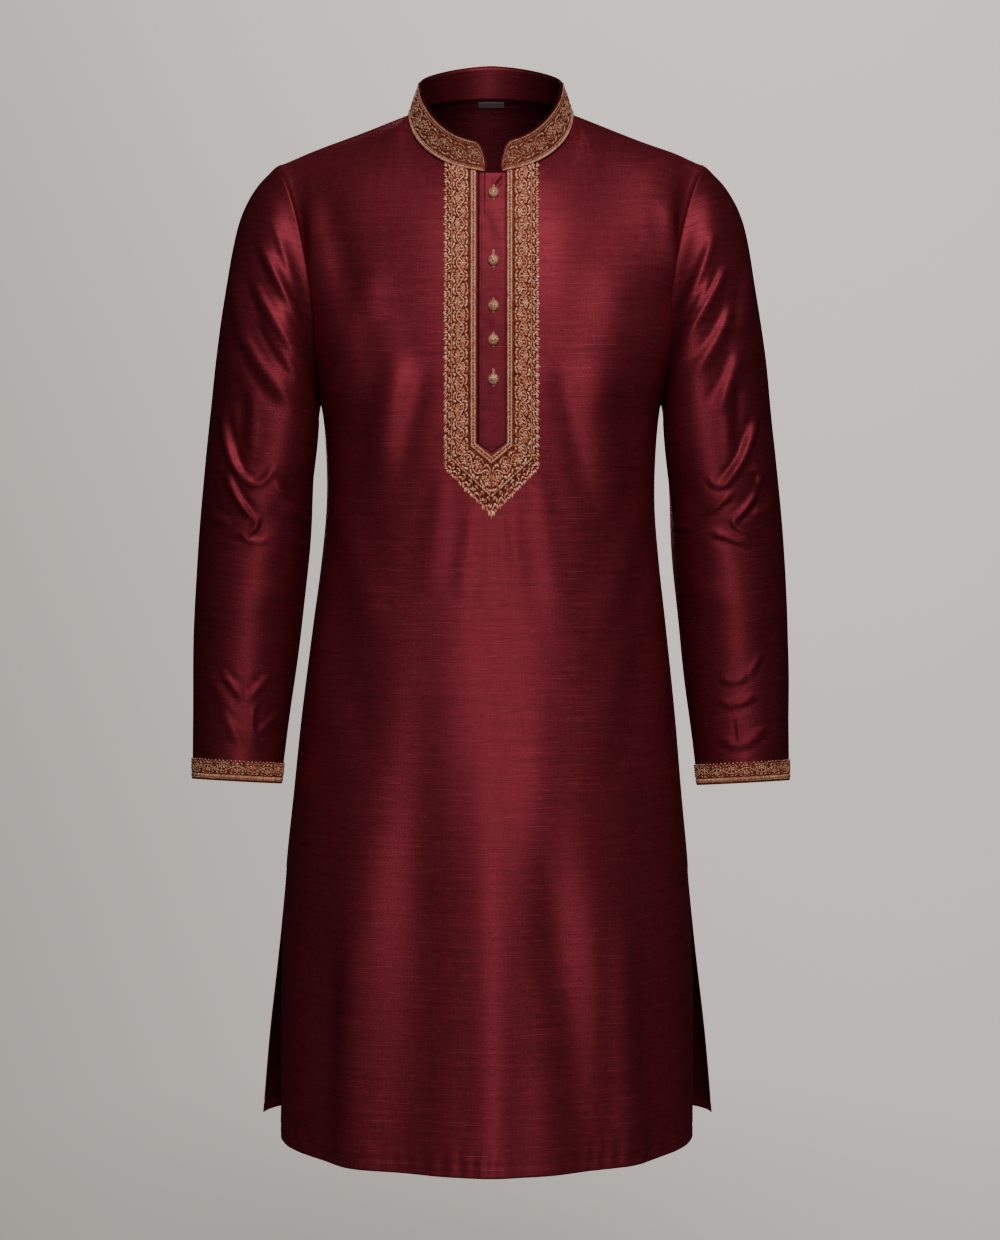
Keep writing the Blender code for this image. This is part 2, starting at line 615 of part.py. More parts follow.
def collar_grid(low_share, high_share, rows):
    """The stand collar's outer face between two shares of its height."""
    step = 90.0 / NECK_STEPS
    middle = np.arange(step, 360.0 - step / 2, step)
    angles = np.concatenate([[COLLAR_END], middle, [360.0 - COLLAR_END]])
    size = np.minimum(angles, 360.0 - angles)
    height = through(COLLAR_HEIGHTS, size, "angle", "height")
    height = height * np.where(size < COLLAR_END + 1.0, COLLAR_CORNER, 1.0)
    shares = np.linspace(low_share, high_share, rows + 1)[:, None]
    foot = neck_chord(size)
    foot[:, 0] *= np.where(angles > 180.0, -1.0, 1.0)
    turn = np.radians(angles)
    lean = np.stack([-np.sin(turn) * COLLAR_LEAN, np.cos(turn) * COLLAR_LEAN * 0.8], -1)
    full = shares * (height / 0.035)
    x = foot[:, 0] + lean[:, 0] * full
    y = foot[:, 1] + lean[:, 1] * full
    z = foot[:, 2] + SEAM_GAP + 0.0002 + shares * height
    return np.stack([x, y, z], -1)


def collar():
    """The stand collar, its embroidered face and the blank label inside it."""
    outer = collar_grid(0.0, 1.0, COLLAR_ROWS)[::-1]
    normal = outward(outer)
    normal[-1, :, 2] = 0.0
    normal /= np.linalg.norm(normal, axis=-1, keepdims=True)
    grid_wall("collar_band", outer, outer - normal * COLLAR_WALL, MAROON)
    face = collar_grid(0.06, 0.94, COLLAR_ROWS)[::-1]
    normal = outward(face)
    under = face + normal * LAY
    grid_wall("collar_trim", under + normal * TRIM_WALL, under, COPPER, 0.4)


def label():
    """A small blank label hanging inside the back of the neck."""
    x = np.linspace(-LABEL_WIDTH / 2, LABEL_WIDTH / 2, 4)[None, :]
    drop = np.linspace(0.001, LABEL_HEIGHT, 3)[:, None]
    column = x / 0.30
    top = panel_surface(column + 0.0 * drop, 0.0 * column + drop / 0.30, True)
    outer = top[0] - top[1] * (WALL + 0.0028)
    grid_wall("neck_label", outer, outer - top[1] * 0.0006, GREY)


def main():
    for item in list(bpy.data.objects):
        bpy.data.objects.remove(item, do_unlink=True)
    panels()
    sleeves()
    collar()
    front_trim()
    placket()
    buttons()
    label()


main()
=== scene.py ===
import math
import bmesh
import bpy
import numpy as np
from mathutils import Matrix, Vector


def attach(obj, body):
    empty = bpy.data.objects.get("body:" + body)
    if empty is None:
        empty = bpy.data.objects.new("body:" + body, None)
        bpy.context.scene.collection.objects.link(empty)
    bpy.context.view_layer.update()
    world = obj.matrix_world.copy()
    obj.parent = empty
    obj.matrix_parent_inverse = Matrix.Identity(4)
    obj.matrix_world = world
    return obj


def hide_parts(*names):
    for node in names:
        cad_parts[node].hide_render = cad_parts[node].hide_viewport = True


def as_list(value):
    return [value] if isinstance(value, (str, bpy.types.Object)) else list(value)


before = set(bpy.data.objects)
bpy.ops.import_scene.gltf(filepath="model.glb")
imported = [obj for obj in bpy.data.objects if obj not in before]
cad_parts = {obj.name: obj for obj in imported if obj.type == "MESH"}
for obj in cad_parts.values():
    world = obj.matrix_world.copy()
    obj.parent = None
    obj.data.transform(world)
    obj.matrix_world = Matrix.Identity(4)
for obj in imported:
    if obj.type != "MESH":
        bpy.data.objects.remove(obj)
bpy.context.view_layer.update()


# Curves and tables

def ease(low, high, value):  # a soft step from 0 to 1
    share = np.clip((value - low) / (high - low), 0.0, 1.0)
    return share * share * (3.0 - 2.0 * share)


def through(table, key, name, at):  # a smooth curve through one row of a table
    keys = np.array(table[key], float)
    values = np.array(table[name], float)
    if keys[0] > keys[-1]:
        keys, values = keys[::-1], values[::-1]
    slopes = np.gradient(values, keys)
    at = np.clip(at, keys[0], keys[-1])
    low = np.clip(np.searchsorted(keys, at) - 1, 0, len(keys) - 2)
    width = keys[low + 1] - keys[low]
    t = (at - keys[low]) / width
    stay = (1 + 2 * t) * (1 - t) ** 2 * values[low] + t * t * (3 - 2 * t) * values[low + 1]
    turn = t * (1 - t) ** 2 * slopes[low] - t * t * (1 - t) * slopes[low + 1]
    return stay + width * turn


def unit(vectors):
    return vectors / np.maximum(np.linalg.norm(vectors, axis=-1, keepdims=True), 1e-12)


def onGrid(grid, row, column):  # a point between a grid's points
    row = np.clip(row, 0, grid.shape[0] - 1.000001)
    column = np.clip(column, 0, grid.shape[1] - 1.000001)
    r, c = row.astype(int), column.astype(int)
    a, b = (row - r)[..., None], (column - c)[..., None]
    return ((grid[r, c] * (1 - b) + grid[r, c + 1] * b) * (1 - a)
            + (grid[r + 1, c] * (1 - b) + grid[r + 1, c + 1] * b) * a)


def walked(points, axis=0):  # the length along points from their start
    steps = np.cumsum(np.linalg.norm(np.diff(points, axis=axis), axis=-1), axis=axis)
    return np.concatenate([0.0 * np.take(steps, [0], axis), steps], axis)


def onFace(grid, row, column):  # a point of a finished face, and its normal
    return onGrid(grid["points"], row, column), unit(onGrid(grid["normals"], row, column))


def numbered(value, keys):  # where a value lies among a grid's own keys
    return np.interp(value, keys, np.arange(len(keys)))


# Meshes

def readPoints(mesh):
    flat = np.empty(len(mesh.vertices) * 3, np.float32)
    mesh.vertices.foreach_get("co", flat)
    return flat.reshape(-1, 3)


def setPoints(mesh, points):
    mesh.vertices.foreach_set("co", np.ascontiguousarray(points, np.float32).ravel())
    mesh.update()


def setWeave(mesh, places):  # a UV map in metres, along the weft and the warp
    loops = np.empty(len(mesh.loops), np.int32)
    mesh.loops.foreach_get("vertex_index", loops)
    layer = mesh.uv_layers.new(name="weave")
    layer.data.foreach_set("uv", places[loops].astype(np.float32).ravel())


def toMesh(shape, mesh):
    shape.to_mesh(mesh)
    shape.free()
    return mesh


def newObject(name, data):
    made = bpy.data.objects.new(name, data)
    bpy.context.collection.objects.link(made)
    return made


def gridMesh(name, points, outward, weave=None, closed=False, caps=False):
    rows, columns = points.shape[:2]
    shape = bmesh.new()
    bmesh.ops.create_grid(shape, x_segments=columns - 1, y_segments=rows - 1, size=0.5)
    mesh = toMesh(shape, bpy.data.meshes.new(name))
    flat = readPoints(mesh)
    row = np.rint((0.5 - flat[:, 1]) * (rows - 1)).astype(int)
    column = np.rint((flat[:, 0] + 0.5) * (columns - 1)).astype(int)
    setPoints(mesh, points[row, column])
    if weave is not None:
        setWeave(mesh, weave[row, column])
    normals = np.empty(len(mesh.vertices) * 3, np.float32)
    mesh.vertex_normals.foreach_get("vector", normals)
    if (normals.reshape(-1, 3) * outward[row, column]).sum() < 0:
        mesh.flip_normals()
    if closed:
        shape = bmesh.new()
        shape.from_mesh(mesh)
        rim = [vert for vert in shape.verts if vert.is_boundary]
        bmesh.ops.remove_doubles(shape, verts=rim, dist=0.00001)
        if caps:
            bmesh.ops.holes_fill(shape, edges=[edge for edge in shape.edges if edge.is_boundary])
        toMesh(shape, mesh)
    return mesh


def placed(mesh, finish, replaced=()):
    piece = newObject(mesh.name, mesh)
    mesh.materials.append(finish)
    mesh.shade_smooth()
    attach(piece, "root")
    if replaced:
        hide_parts(*replaced)
    return piece


def sheet(mesh, finish, thick, replaced=(), innerShade=None):  # cloth, its wall turned inwards; its inner faces may take a darker finish, painted shade
    piece = placed(mesh, finish, replaced)
    wall = piece.modifiers.new("wall", "SOLIDIFY")
    wall.thickness = thick
    wall.offset = -1.0
    if innerShade:
        mesh.materials.append(innerShade)
        wall.material_offset = 1
    area = sum(face.area for face in mesh.polygons)
    print(mesh.name, len(mesh.polygons), "faces", round(area, 5), "m2")
    return piece


# Finishes

def join(tree, value, socket):  # a link from another node, or a plain value
    if isinstance(value, bpy.types.NodeSocket):
        tree.links.new(value, socket)
    else:
        socket.default_value = value


def addNode(tree, kind, links=None, **settings):
    made = tree.nodes.new(kind)
    for key, value in settings.items():
        setattr(made, key, value)
    for key, value in (links or {}).items():
        join(tree, value, made.inputs[key])
    return made


def newFinish(name, **values):
    material = bpy.data.materials.new(name)
    material.use_nodes = True
    surface = material.node_tree.nodes["Principled BSDF"]
    for key, value in values.items():
        surface.inputs[key.replace("_", " ")].default_value = value
    return material, material.node_tree, surface


def ramp(tree, factor, stops):  # a colour ramp from (place, colour) stops
    made = addNode(tree, "ShaderNodeValToRGB", {"Fac": factor})
    marks = made.color_ramp.elements
    while len(marks) < len(stops):
        marks.new(0.5)
    for mark, (place, colour) in zip(marks, stops):
        mark.position = place
        mark.color = colour if len(colour) == 4 else (*colour, 1.0)
    return made.outputs["Color"]


def wovenPlaces(tree):  # along the weft and the warp of a piece
    return addNode(tree, "ShaderNodeUVMap", uv_map="weave").outputs["UV"]


def solidPlaces(tree):
    return addNode(tree, "ShaderNodeTexCoord").outputs["Object"]


def stretched(tree, vector, scale, detail=3.0, roughness=0.6, seed=0.0):
    mapping = addNode(tree, "ShaderNodeMapping", {
        "Vector": vector, "Scale": scale, "Location": (seed, seed * 0.7, seed)})
    noise = addNode(tree, "ShaderNodeTexNoise", {
        "Vector": mapping.outputs["Vector"], "Scale": 1.0, "Detail": detail, "Roughness": roughness})
    return noise.outputs["Fac"]


def blend(tree, factor, first, second, mode="MIX"):
    made = tree.nodes.new("ShaderNodeMix")
    made.data_type = "RGBA"
    made.blend_type = mode
    for name, value in (("Factor", factor), ("A", first), ("B", second)):
        join(tree, value, next(item for item in made.inputs if item.name == name and item.enabled))
    return next(item for item in made.outputs if item.enabled)


def maths(tree, operation, first, second):
    made = tree.nodes.new("ShaderNodeMath")
    made.operation = operation
    for socket, value in zip(made.inputs, (first, second)):
        join(tree, value, socket)
    return made.outputs["Value"]


def scaled(tree, value, by, more=0.0):  # a value times a number, and another added
    return maths(tree, "ADD", maths(tree, "MULTIPLY", value, by), more)


def finished(tree, surface, colour, rough, height, strength, distance=0.0002):  # the last links
    join(tree, colour, surface.inputs["Base Color"])
    join(tree, rough, surface.inputs["Roughness"])
    bump = addNode(tree, "ShaderNodeBump", {
        "Strength": strength, "Distance": distance, "Height": height})
    join(tree, bump.outputs["Normal"], surface.inputs["Normal"])


def tinted(colour, shade):
    return tuple(value * shade for value in colour[:3]) + (1.0,)


silk = {
    "dark": (0.170, 0.0175, 0.0270, 1.0),  # between the threads
    "light": (0.285, 0.0330, 0.0500, 1.0),  # the threads
    "slub": (0.370, 0.0500, 0.0730, 1.0),  # a thick place in a weft thread
    "roughness": 0.44,
    "metallic": 0.60,
    "tint": (1.0, 0.22, 0.30, 1.0),
    "relief": 0.50,
}


def silkFinish(name, shade=1.0):
    material, tree, surface = newFinish(
        name, Metallic=silk["metallic"], Specular_Tint=silk["tint"], Specular_IOR_Level=0.4)
    weave = wovenPlaces(tree)
    slubs = stretched(tree, weave, (26.0, 620.0, 1.0), 3.0, 0.62, 3.1)
    weft = stretched(tree, weave, (110.0, 2400.0, 1.0), 2.0, 0.6, 7.7)
    warp = stretched(tree, weave, (1900.0, 60.0, 1.0), 2.0, 0.6, 1.3)
    broad = stretched(tree, weave, (11.0, 230.0, 1.0), 3.0, 0.6, 5.9)
    thick = ramp(tree, slubs, ((0.58, (0, 0, 0)), (0.74, (1, 1, 1))))
    threads = scaled(tree, weft, 0.65, maths(tree, "MULTIPLY", warp, 0.35))
    dark, light, slub = (tinted(silk[key], shade) for key in ("dark", "light", "slub"))
    ground = ramp(tree, threads, ((0.34, dark), (0.66, light)))
    dyed = blend(tree, maths(tree, "MULTIPLY", thick, 0.48), ground, slub)
    worn = ramp(tree, broad, ((0.32, (0.87, 0.87, 0.87)), (0.68, (1.09, 1.09, 1.09))))
    colour = blend(tree, 1.0, dyed, worn, "MULTIPLY")
    rough = scaled(tree, threads, 0.16, silk["roughness"] - 0.08)
    finished(tree, surface, colour, rough, scaled(tree, thick, 1.3, threads), silk["relief"], 0.00025)
    return material


thread = {
    "deep": (0.300, 0.080, 0.038, 1.0),  # in the shade between the stitches
    "copper": (0.960, 0.400, 0.225, 1.0),
    # the crest of each stitch, a painted highlight, mixed with tone that varies at random
    "bright": (1.000, 0.700, 0.500, 1.0),
    "roughness": 0.46,
    "metallic": 0.22,
    "pitch": 0.00042,  # from stitch to stitch
}


def threadFinish(name, dull=1.0):
    material, tree, surface = newFinish(
        name, Metallic=thread["metallic"], Specular_Tint=(1.0, 0.66, 0.48, 1.0))
    along, places = wovenPlaces(tree), solidPlaces(tree)
    tone = addNode(tree, "ShaderNodeAttribute", attribute_name="tone").outputs["Fac"]
    scale = 1.0 / thread["pitch"]
    mapping = addNode(tree, "ShaderNodeMapping", {
        "Vector": along, "Scale": (scale, scale * 0.35, 1.0)})
    wave = addNode(tree, "ShaderNodeTexWave", {
        "Vector": mapping.outputs["Vector"], "Scale": 0.314, "Distortion": 1.2, "Detail": 1.0})
    speck = stretched(tree, places, (420.0, 420.0, 420.0), 2.0, 0.6, 2.0)
    soft = scaled(tree, speck, 0.45, maths(tree, "MULTIPLY", tone, 0.55))
    mixed = scaled(tree, wave.outputs["Fac"], 0.30, soft)
    stops = ((0.22, "deep"), (0.58, "copper"), (1.0, "bright"))
    tints = [(place, tinted(thread[key], dull)) for place, key in stops]
    rough = scaled(tree, speck, 0.24, thread["roughness"] - 0.10)
    finished(tree, surface, ramp(tree, mixed, tints), rough, mixed, 0.5)
    return material


def groundFinish(name):  # the ground between the raised motifs: close under-stitching, its dark tones partly painted shade of the raised threads
    material, tree, surface = newFinish(
        name, Metallic=0.1, Specular_IOR_Level=0.2, Specular_Tint=(1.0, 0.4, 0.3, 1.0))
    places = solidPlaces(tree)
    mesh = stretched(tree, places, (900.0, 900.0, 700.0), 3.0, 0.65, 4.0)
    patches = stretched(tree, places, (260.0, 260.0, 260.0), 2.0, 0.6, 9.0)
    mixed = scaled(tree, mesh, 0.55, maths(tree, "MULTIPLY", patches, 0.45))
    shades = ((0.36, (0.08, 0.01, 0.008)), (0.52, (0.17, 0.03, 0.018)), (0.70, (0.42, 0.13, 0.062)))
    finished(tree, surface, ramp(tree, mixed, shades), 0.6, mixed, 0.6, 0.0003)
    return material


def buttonFinish(name):
    material, tree, surface = newFinish(name, Metallic=0.55)
    places = solidPlaces(tree)
    worn = stretched(tree, places, (500.0, 500.0, 500.0), 3.0, 0.6, 6.0)
    shades = ((0.32, (0.38, 0.15, 0.08)), (0.52, (0.76, 0.38, 0.22)), (0.70, (0.98, 0.62, 0.43)))
    finished(tree, surface, ramp(tree, worn, shades), scaled(tree, worn, 0.25, 0.28), worn, 0.35)
    return material


def labelFinish(name):
    material, tree, surface = newFinish(name, Sheen_Weight=0.15)
    mapping = addNode(tree, "ShaderNodeMapping", {
        "Vector": wovenPlaces(tree), "Scale": (2200.0, 1500.0, 1.0)})
    check = addNode(tree, "ShaderNodeTexChecker", {
        "Vector": mapping.outputs["Vector"], "Scale": 1.0,
        "Color1": (0.045, 0.034, 0.033, 1.0), "Color2": (0.085, 0.070, 0.068, 1.0)})
    finished(tree, surface, check.outputs["Color"], 0.7, check.outputs["Fac"], 0.4)
    return material


silkCloth = silkFinish("maroonDupion")
# inside the collar and the turned edges: the silk darkened, painted shade
silkInsideShade = silkFinish("maroonDupionInsideShade", 0.66)
# inner faces of the panels: the silk darkened, painted shade
silkInnerShade = silkFinish("maroonDupionInnerShade", 0.42)
# sleeves: the same silk darkened, painted shade that dims their highlights
silkSleeveShade = silkFinish("maroonDupionSleeveShade", 0.69)
# piping: the silk darkened, painted shade along the neck seam and beside the button strip; the collar's
# top piping is dark as well
silkPipeShade = silkFinish("maroonPipingShade", 0.42)
# the button strip: the same silk darkened, painted shade under the collar
silkStripShade = silkFinish("maroonDupionStripShade", 0.64)
copperThread = threadFinish("copperThread", 1.09)
braidThread = threadFinish("braidThread", 0.87)
collarThread = threadFinish("collarThread", 0.54)
cuffThread = threadFinish("cuffThread", 0.75)
maroonThread = silkFinish("maroonSewingThread", 0.75)
# the embroidery ground, dark in part as painted shade
stitchGroundShade = groundFinish("stitchedGroundShade")
copperButton = buttonFinish("antiqueCopper")
greyTape = labelFinish("greyTape")


# The body's form, as in the solids apart from a lower neck at the front

body = {
    "seamY": 0.004,
    "neckSide": 0.083, "neckLevel": 0.006,
    "neckFront": -0.091, "neckBack": 0.070,
    "neckFrontRise": 0.75, "neckBackRise": 0.38,
    "shoulderSide": 0.2188, "shoulderLevel": -0.047,
    "underarmSide": 0.172, "chest": -0.284, "hem": -1.030, "slit": -0.760,
    "hemShift": -0.004, "neckShare": 0.46,
    "thick": 0.0009,
    "evenReach": 0.16, "evenWeights": ((-1.0, 0.1), (-0.5, 0.2), (0.0, 0.4), (0.5, 0.2), (1.0, 0.1)),
}
sections = {
    "level": (-0.284, -0.31, -0.337, -0.388, -0.445, -0.51, -0.609, -0.683, -0.76, -0.846, -0.948, -1.03),
    "frontSide": (0.172, 0.1688, 0.1668, 0.166, 0.1706, 0.1785, 0.19, 0.197, 0.2045, 0.2085, 0.209, 0.209),
    "backSide": (0.172, 0.1688, 0.1668, 0.166, 0.1706, 0.1785, 0.19, 0.197, 0.2045, 0.215, 0.228, 0.236),
    "front": (0.126, 0.126, 0.125, 0.122, 0.120, 0.121, 0.127, 0.133, 0.139, 0.146, 0.154, 0.162),
    "back": (0.114, 0.110, 0.106, 0.100, 0.100, 0.104, 0.114, 0.120, 0.124, 0.128, 0.132, 0.134),
    "frontEdge": (0, 0, 0, 0, 0, 0, 0, 0, 0, -0.010, -0.016, -0.018),
    "backEdge": (0, 0, 0, 0, 0, 0, 0, 0, 0, 0.026, 0.047, 0.060),
    "round": (0.87, 0.87, 0.87, 0.87, 0.88, 0.89, 0.91, 0.93, 0.95, 0.98, 1.01, 1.03),
}
frontLeaves = {  # how the columns leave the top edge and reach the chest
    "column": (0.00, 0.25, 0.46, 0.65, 0.85, 1.00),
    "x": (0.000, 0.014, 0.022, 0.010, -0.010, -0.028),
    "y": (-0.026, -0.046, -0.066, -0.070, -0.064, -0.052),
    "z": (-0.070, -0.052, -0.028, -0.032, -0.034, -0.018),
    "cx": (0.000, 0.000, 0.000, 0.001, -0.003, -0.010),
    "cy": (-0.004, -0.002, 0.000, -0.008, -0.034, -0.066),
    "cz": (0.080, 0.082, 0.085, 0.078, 0.055, 0.022),
}
backLeaves = {
    "column": (0.00, 0.25, 0.46, 0.65, 0.85, 1.00),
    "x": (0.000, 0.018, 0.026, 0.011, -0.008, -0.022),
    "y": (0.030, 0.044, 0.062, 0.068, 0.062, 0.050),
    "z": (-0.060, -0.038, -0.024, -0.030, -0.036, -0.020),
    "cx": (0.000, 0.000, 0.000, 0.001, -0.003, -0.010),
    "cy": (0.012, 0.010, 0.008, 0.014, 0.036, 0.062),
    "cz": (0.090, 0.090, 0.090, 0.080, 0.056, 0.022),
}


def neckPoint(angle):  # the neck seam, 0 at the front and 180 at the back
    turn = np.radians(angle)
    forward = np.cos(turn)
    reach = np.where(forward > 0, body["neckFront"] - body["seamY"], body["neckBack"] - body["seamY"])
    rise = np.where(forward > 0, body["neckFrontRise"], body["neckBackRise"])
    step = reach * np.abs(forward)
    side = body["neckSide"] * np.sin(turn)
    return np.stack([side, body["seamY"] + step, body["neckLevel"] + rise * step], -1)


def topEdge(column, back):  # the neck curve and the shoulder seam of a panel
    size = np.abs(column)
    angle = 90.0 * np.minimum(size / body["neckShare"], 1.0)
    neck = neckPoint(180.0 - angle if back else angle)
    share = np.clip((size - body["neckShare"]) / (1.0 - body["neckShare"]), 0.0, 1.0)
    seam = np.stack([
        body["neckSide"] + (body["shoulderSide"] - body["neckSide"]) * share,
        body["seamY"] + 0.0 * share,
        body["neckLevel"] + (body["shoulderLevel"] - body["neckLevel"]) * share,
    ], -1)
    edge = np.where((size < body["neckShare"])[..., None], neck, seam)
    edge[..., 0] *= np.where(column < 0, -1.0, 1.0)
    return edge


def sectionPoint(column, level, back):  # a point of the body below the underarm
    turn = np.radians(90.0 * np.abs(column))
    side = through(sections, "level", "backSide" if back else "frontSide", level)
    reach = through(sections, "level", "back" if back else "front", level)
    edge = through(sections, "level", "backEdge" if back else "frontEdge", level)
    edge = np.where(level > body["slit"], 0.0, edge)
    power = through(sections, "level", "round", level)
    reach = reach if back else -reach
    x = np.sign(column) * side * np.sin(turn) ** power
    y = edge + (reach - edge) * np.cos(turn) ** power
    shift = body["hemShift"] * ease(-0.30, -0.80, level)
    return np.stack([x + shift, y, level + 0.0 * x], -1)


def panelCurve(column, place, back):  # place 0 to 1 is top edge to chest, 1 to 2 chest to hem
    leaves = backLeaves if back else frontLeaves
    size = np.abs(column)
    mirror = np.where(column < 0, -1.0, 1.0)
    top = topEdge(column, back)
    chest = sectionPoint(column, np.full(np.shape(column), body["chest"]), back)
    first = np.stack([through(leaves, "column", name, size) for name in ("x", "y", "z")], -1)
    last = np.stack([through(leaves, "column", name, size) for name in ("cx", "cy", "cz")], -1)
    first[..., 0] *= mirror
    last[..., 0] *= mirror
    t = np.clip(place, 0.0, 1.0)[..., None]
    upper = (top * (1 - t) ** 3 + (top + first) * 3 * t * (1 - t) ** 2
             + (chest + last) * 3 * t * t * (1 - t) + chest * t ** 3)
    level = body["chest"] + (body["hem"] - body["chest"]) * np.clip(place - 1.0, 0.0, 1.0)
    return np.where((place < 1.0)[..., None], upper, sectionPoint(column, level, back))


def panelBase(column, place, back):  # the panel without folds, evened out beside the neck
    calm = ease(0.0, 0.35, place) * (1.0 - ease(0.85, 1.0, place)) * ease(1.0, 0.8, np.abs(column))
    total = 0.0
    for share, weight in body["evenWeights"]:
        total = total + weight * panelCurve(column + share * body["evenReach"] * calm, place, back)
    return total


# Folds and creases

def metres(count, rows):  # the first numbers of each row are millimetres
    return [[value / 1000 for value in row[:count]] + list(row[count:]) for row in rows]


def foldLift(folds, x, z, scale=1.0):  # straight broad folds: x0 z0 x1 z1 width height start end
    lift = np.zeros(np.broadcast(x, z).shape)
    for x0, z0, x1, z1, width, height, start, end in folds:
        runX, runZ = (x1 - x0) * scale, z1 - z0
        length = math.hypot(runX, runZ)
        offX, offZ = (x - x0) * scale, z - z0
        along = (offX * runX + offZ * runZ) / length ** 2
        across = (offX * runZ - offZ * runX) / length
        near = ease(0.0, start, along) if start else 1.0
        far = 1.0 - ease(1.0 - end, 1.0, along) if end else 1.0
        lift = lift + height * np.exp(-(across / width) ** 2) * near * far
    return lift


def creaseLift(creases, x, z):  # curved creases: three points, then width, height and spread
    x, z = np.broadcast_arrays(x, z)
    lift = np.zeros(x.shape)
    t = np.linspace(0.0, 1.0, 17)
    for x0, z0, x1, z1, x2, z2, width, height, spread in creases:
        pathX = (1 - t) ** 2 * x0 + 2 * t * (1 - t) * x1 + t * t * x2
        pathZ = (1 - t) ** 2 * z0 + 2 * t * (1 - t) * z1 + t * t * z2
        reach = 4.0 * abs(width) * max(spread, 1.0)
        near = ((x > pathX.min() - reach) & (x < pathX.max() + reach)
                & (z > pathZ.min() - reach) & (z < pathZ.max() + reach))
        if not near.any():
            continue
        px, pz = x[near], z[near]
        nearest = np.argmin((px[:, None] - pathX) ** 2 + (pz[:, None] - pathZ) ** 2, axis=1)
        tangentX, tangentZ = np.gradient(pathX)[nearest], np.gradient(pathZ)[nearest]
        step = np.hypot(tangentX, tangentZ)
        offX, offZ = px - pathX[nearest], pz - pathZ[nearest]
        along = t[nearest] + (offX * tangentX + offZ * tangentZ) / step ** 2 / (len(t) - 1)
        across = (offX * tangentZ - offZ * tangentX) / step
        wide = width * (1.0 + (spread - 1.0) * np.clip(along, 0.0, 1.0))
        q = across / wide
        shape = np.exp(-q * q) - 0.42 * np.exp(-((q - 1.55) / 0.85) ** 2)
        lift[near] += height * shape * ease(0.0, 0.30, along) * (1.0 - ease(0.70, 1.0, along))
    return lift


def ripple(x, z, seed):  # slight unevenness of hanging cloth
    draw = np.random.default_rng(seed)
    lift = 0.0
    for _ in range(7):
        waveX, waveZ = draw.uniform(60, 150), draw.uniform(-22, 22)
        lift = lift + draw.uniform(0.4, 1.0) * np.sin(x * waveX + z * waveZ + draw.uniform(0, 6.28))
    return lift / 7.0


front = {
    "folds": metres(6, (
        (4, -600, 4, -1060, 28, 4.6, 0.5, 0),
        (-118, -560, -138, -1060, 30, 7.5, 0.5, 0),
        (88, -660, 150, -1060, 23, 5, 0.5, 0),
        (-66, -520, -84, -1060, 31, -7, 0.5, 0),
        (46, -660, 98, -1060, 22, -5.4, 0.45, 0),
        (160, -820, 160, -1060, 30, -6, 0.5, 0),
        (-160, -760, -164, -1060, 32, -5, 0.5, 0),
        (-106, -150, -140, -260, 15, 3, 0.3, 0.4),
        (64, -235, 96, -400, 12, -2.3, 0.3, 0.4),
        (-58, -236, -98, -390, 12, -2.1, 0.3, 0.4),
        (142, -10, 150, -310, 54, 16, 0.55, 0.32),
        (170, -20, 172, -190, 30, 5, 0.25, 0.25),
        (-134, -10, -138, -320, 50, 12.5, 0.25, 0.35),
        (-80, -225, -116, -400, 20, 2.6, 0.35, 0.4),
        (88, -215, 118, -430, 18, 2.2, 0.35, 0.4),
        (121, -150, 115, -310, 26, 3.1, 0.3, 0.3),
        (-132, -165, -132, -330, 27, 3.6, 0.3, 0.3),
    )),
    "creases": metres(8, (
        (-19, -386, -21, -430, -29, -492, 6, 0.7, 1.7),
        (1, -398, 2, -440, -2, -520, 6.4, 0.7, 1.7),
        (19.4, -386, 21.5, -420, 29, -476, 5.4, 0.6, 1.6),
        (-45, -352, -50, -400, -64, -490, 8, 1.1, 1.8),
        (47, -346, 54, -410, 70, -520, 8.5, 1.2, 1.8),
        (-178, -76, -174, -130, -160, -210, -13, 4.6, 1.2),
        (173, -78, 176, -125, 167, -178, -12, 4, 1),
        (-82, -235, -98, -290, -118, -368, 12, 3, 1.3),
        (104, -240, 116, -320, 122, -430, -13, 3, 1.3),
        (-146, -100, -132, -180, -108, -275, 12, -2.6, 1.3),
        (-150, -385, -128, -450, -104, -540, 14, 2.4, 1.2),
        (152, -370, 130, -440, 104, -530, -14, 2.4, 1.2),
        (-160, -460, -142, -540, -122, -640, 15, -2, 1.2),
        (166, -480, 146, -560, 128, -660, 15, -2, 1.2),
        (128, -760, 134, -900, 142, -1070, 11, 2.6, 1.3),
        (-132, -780, -138, -900, -140, -1070, 11, 2.4, 1.3),
    )),
    "seed": 3, "uneven": 0.0012,
}
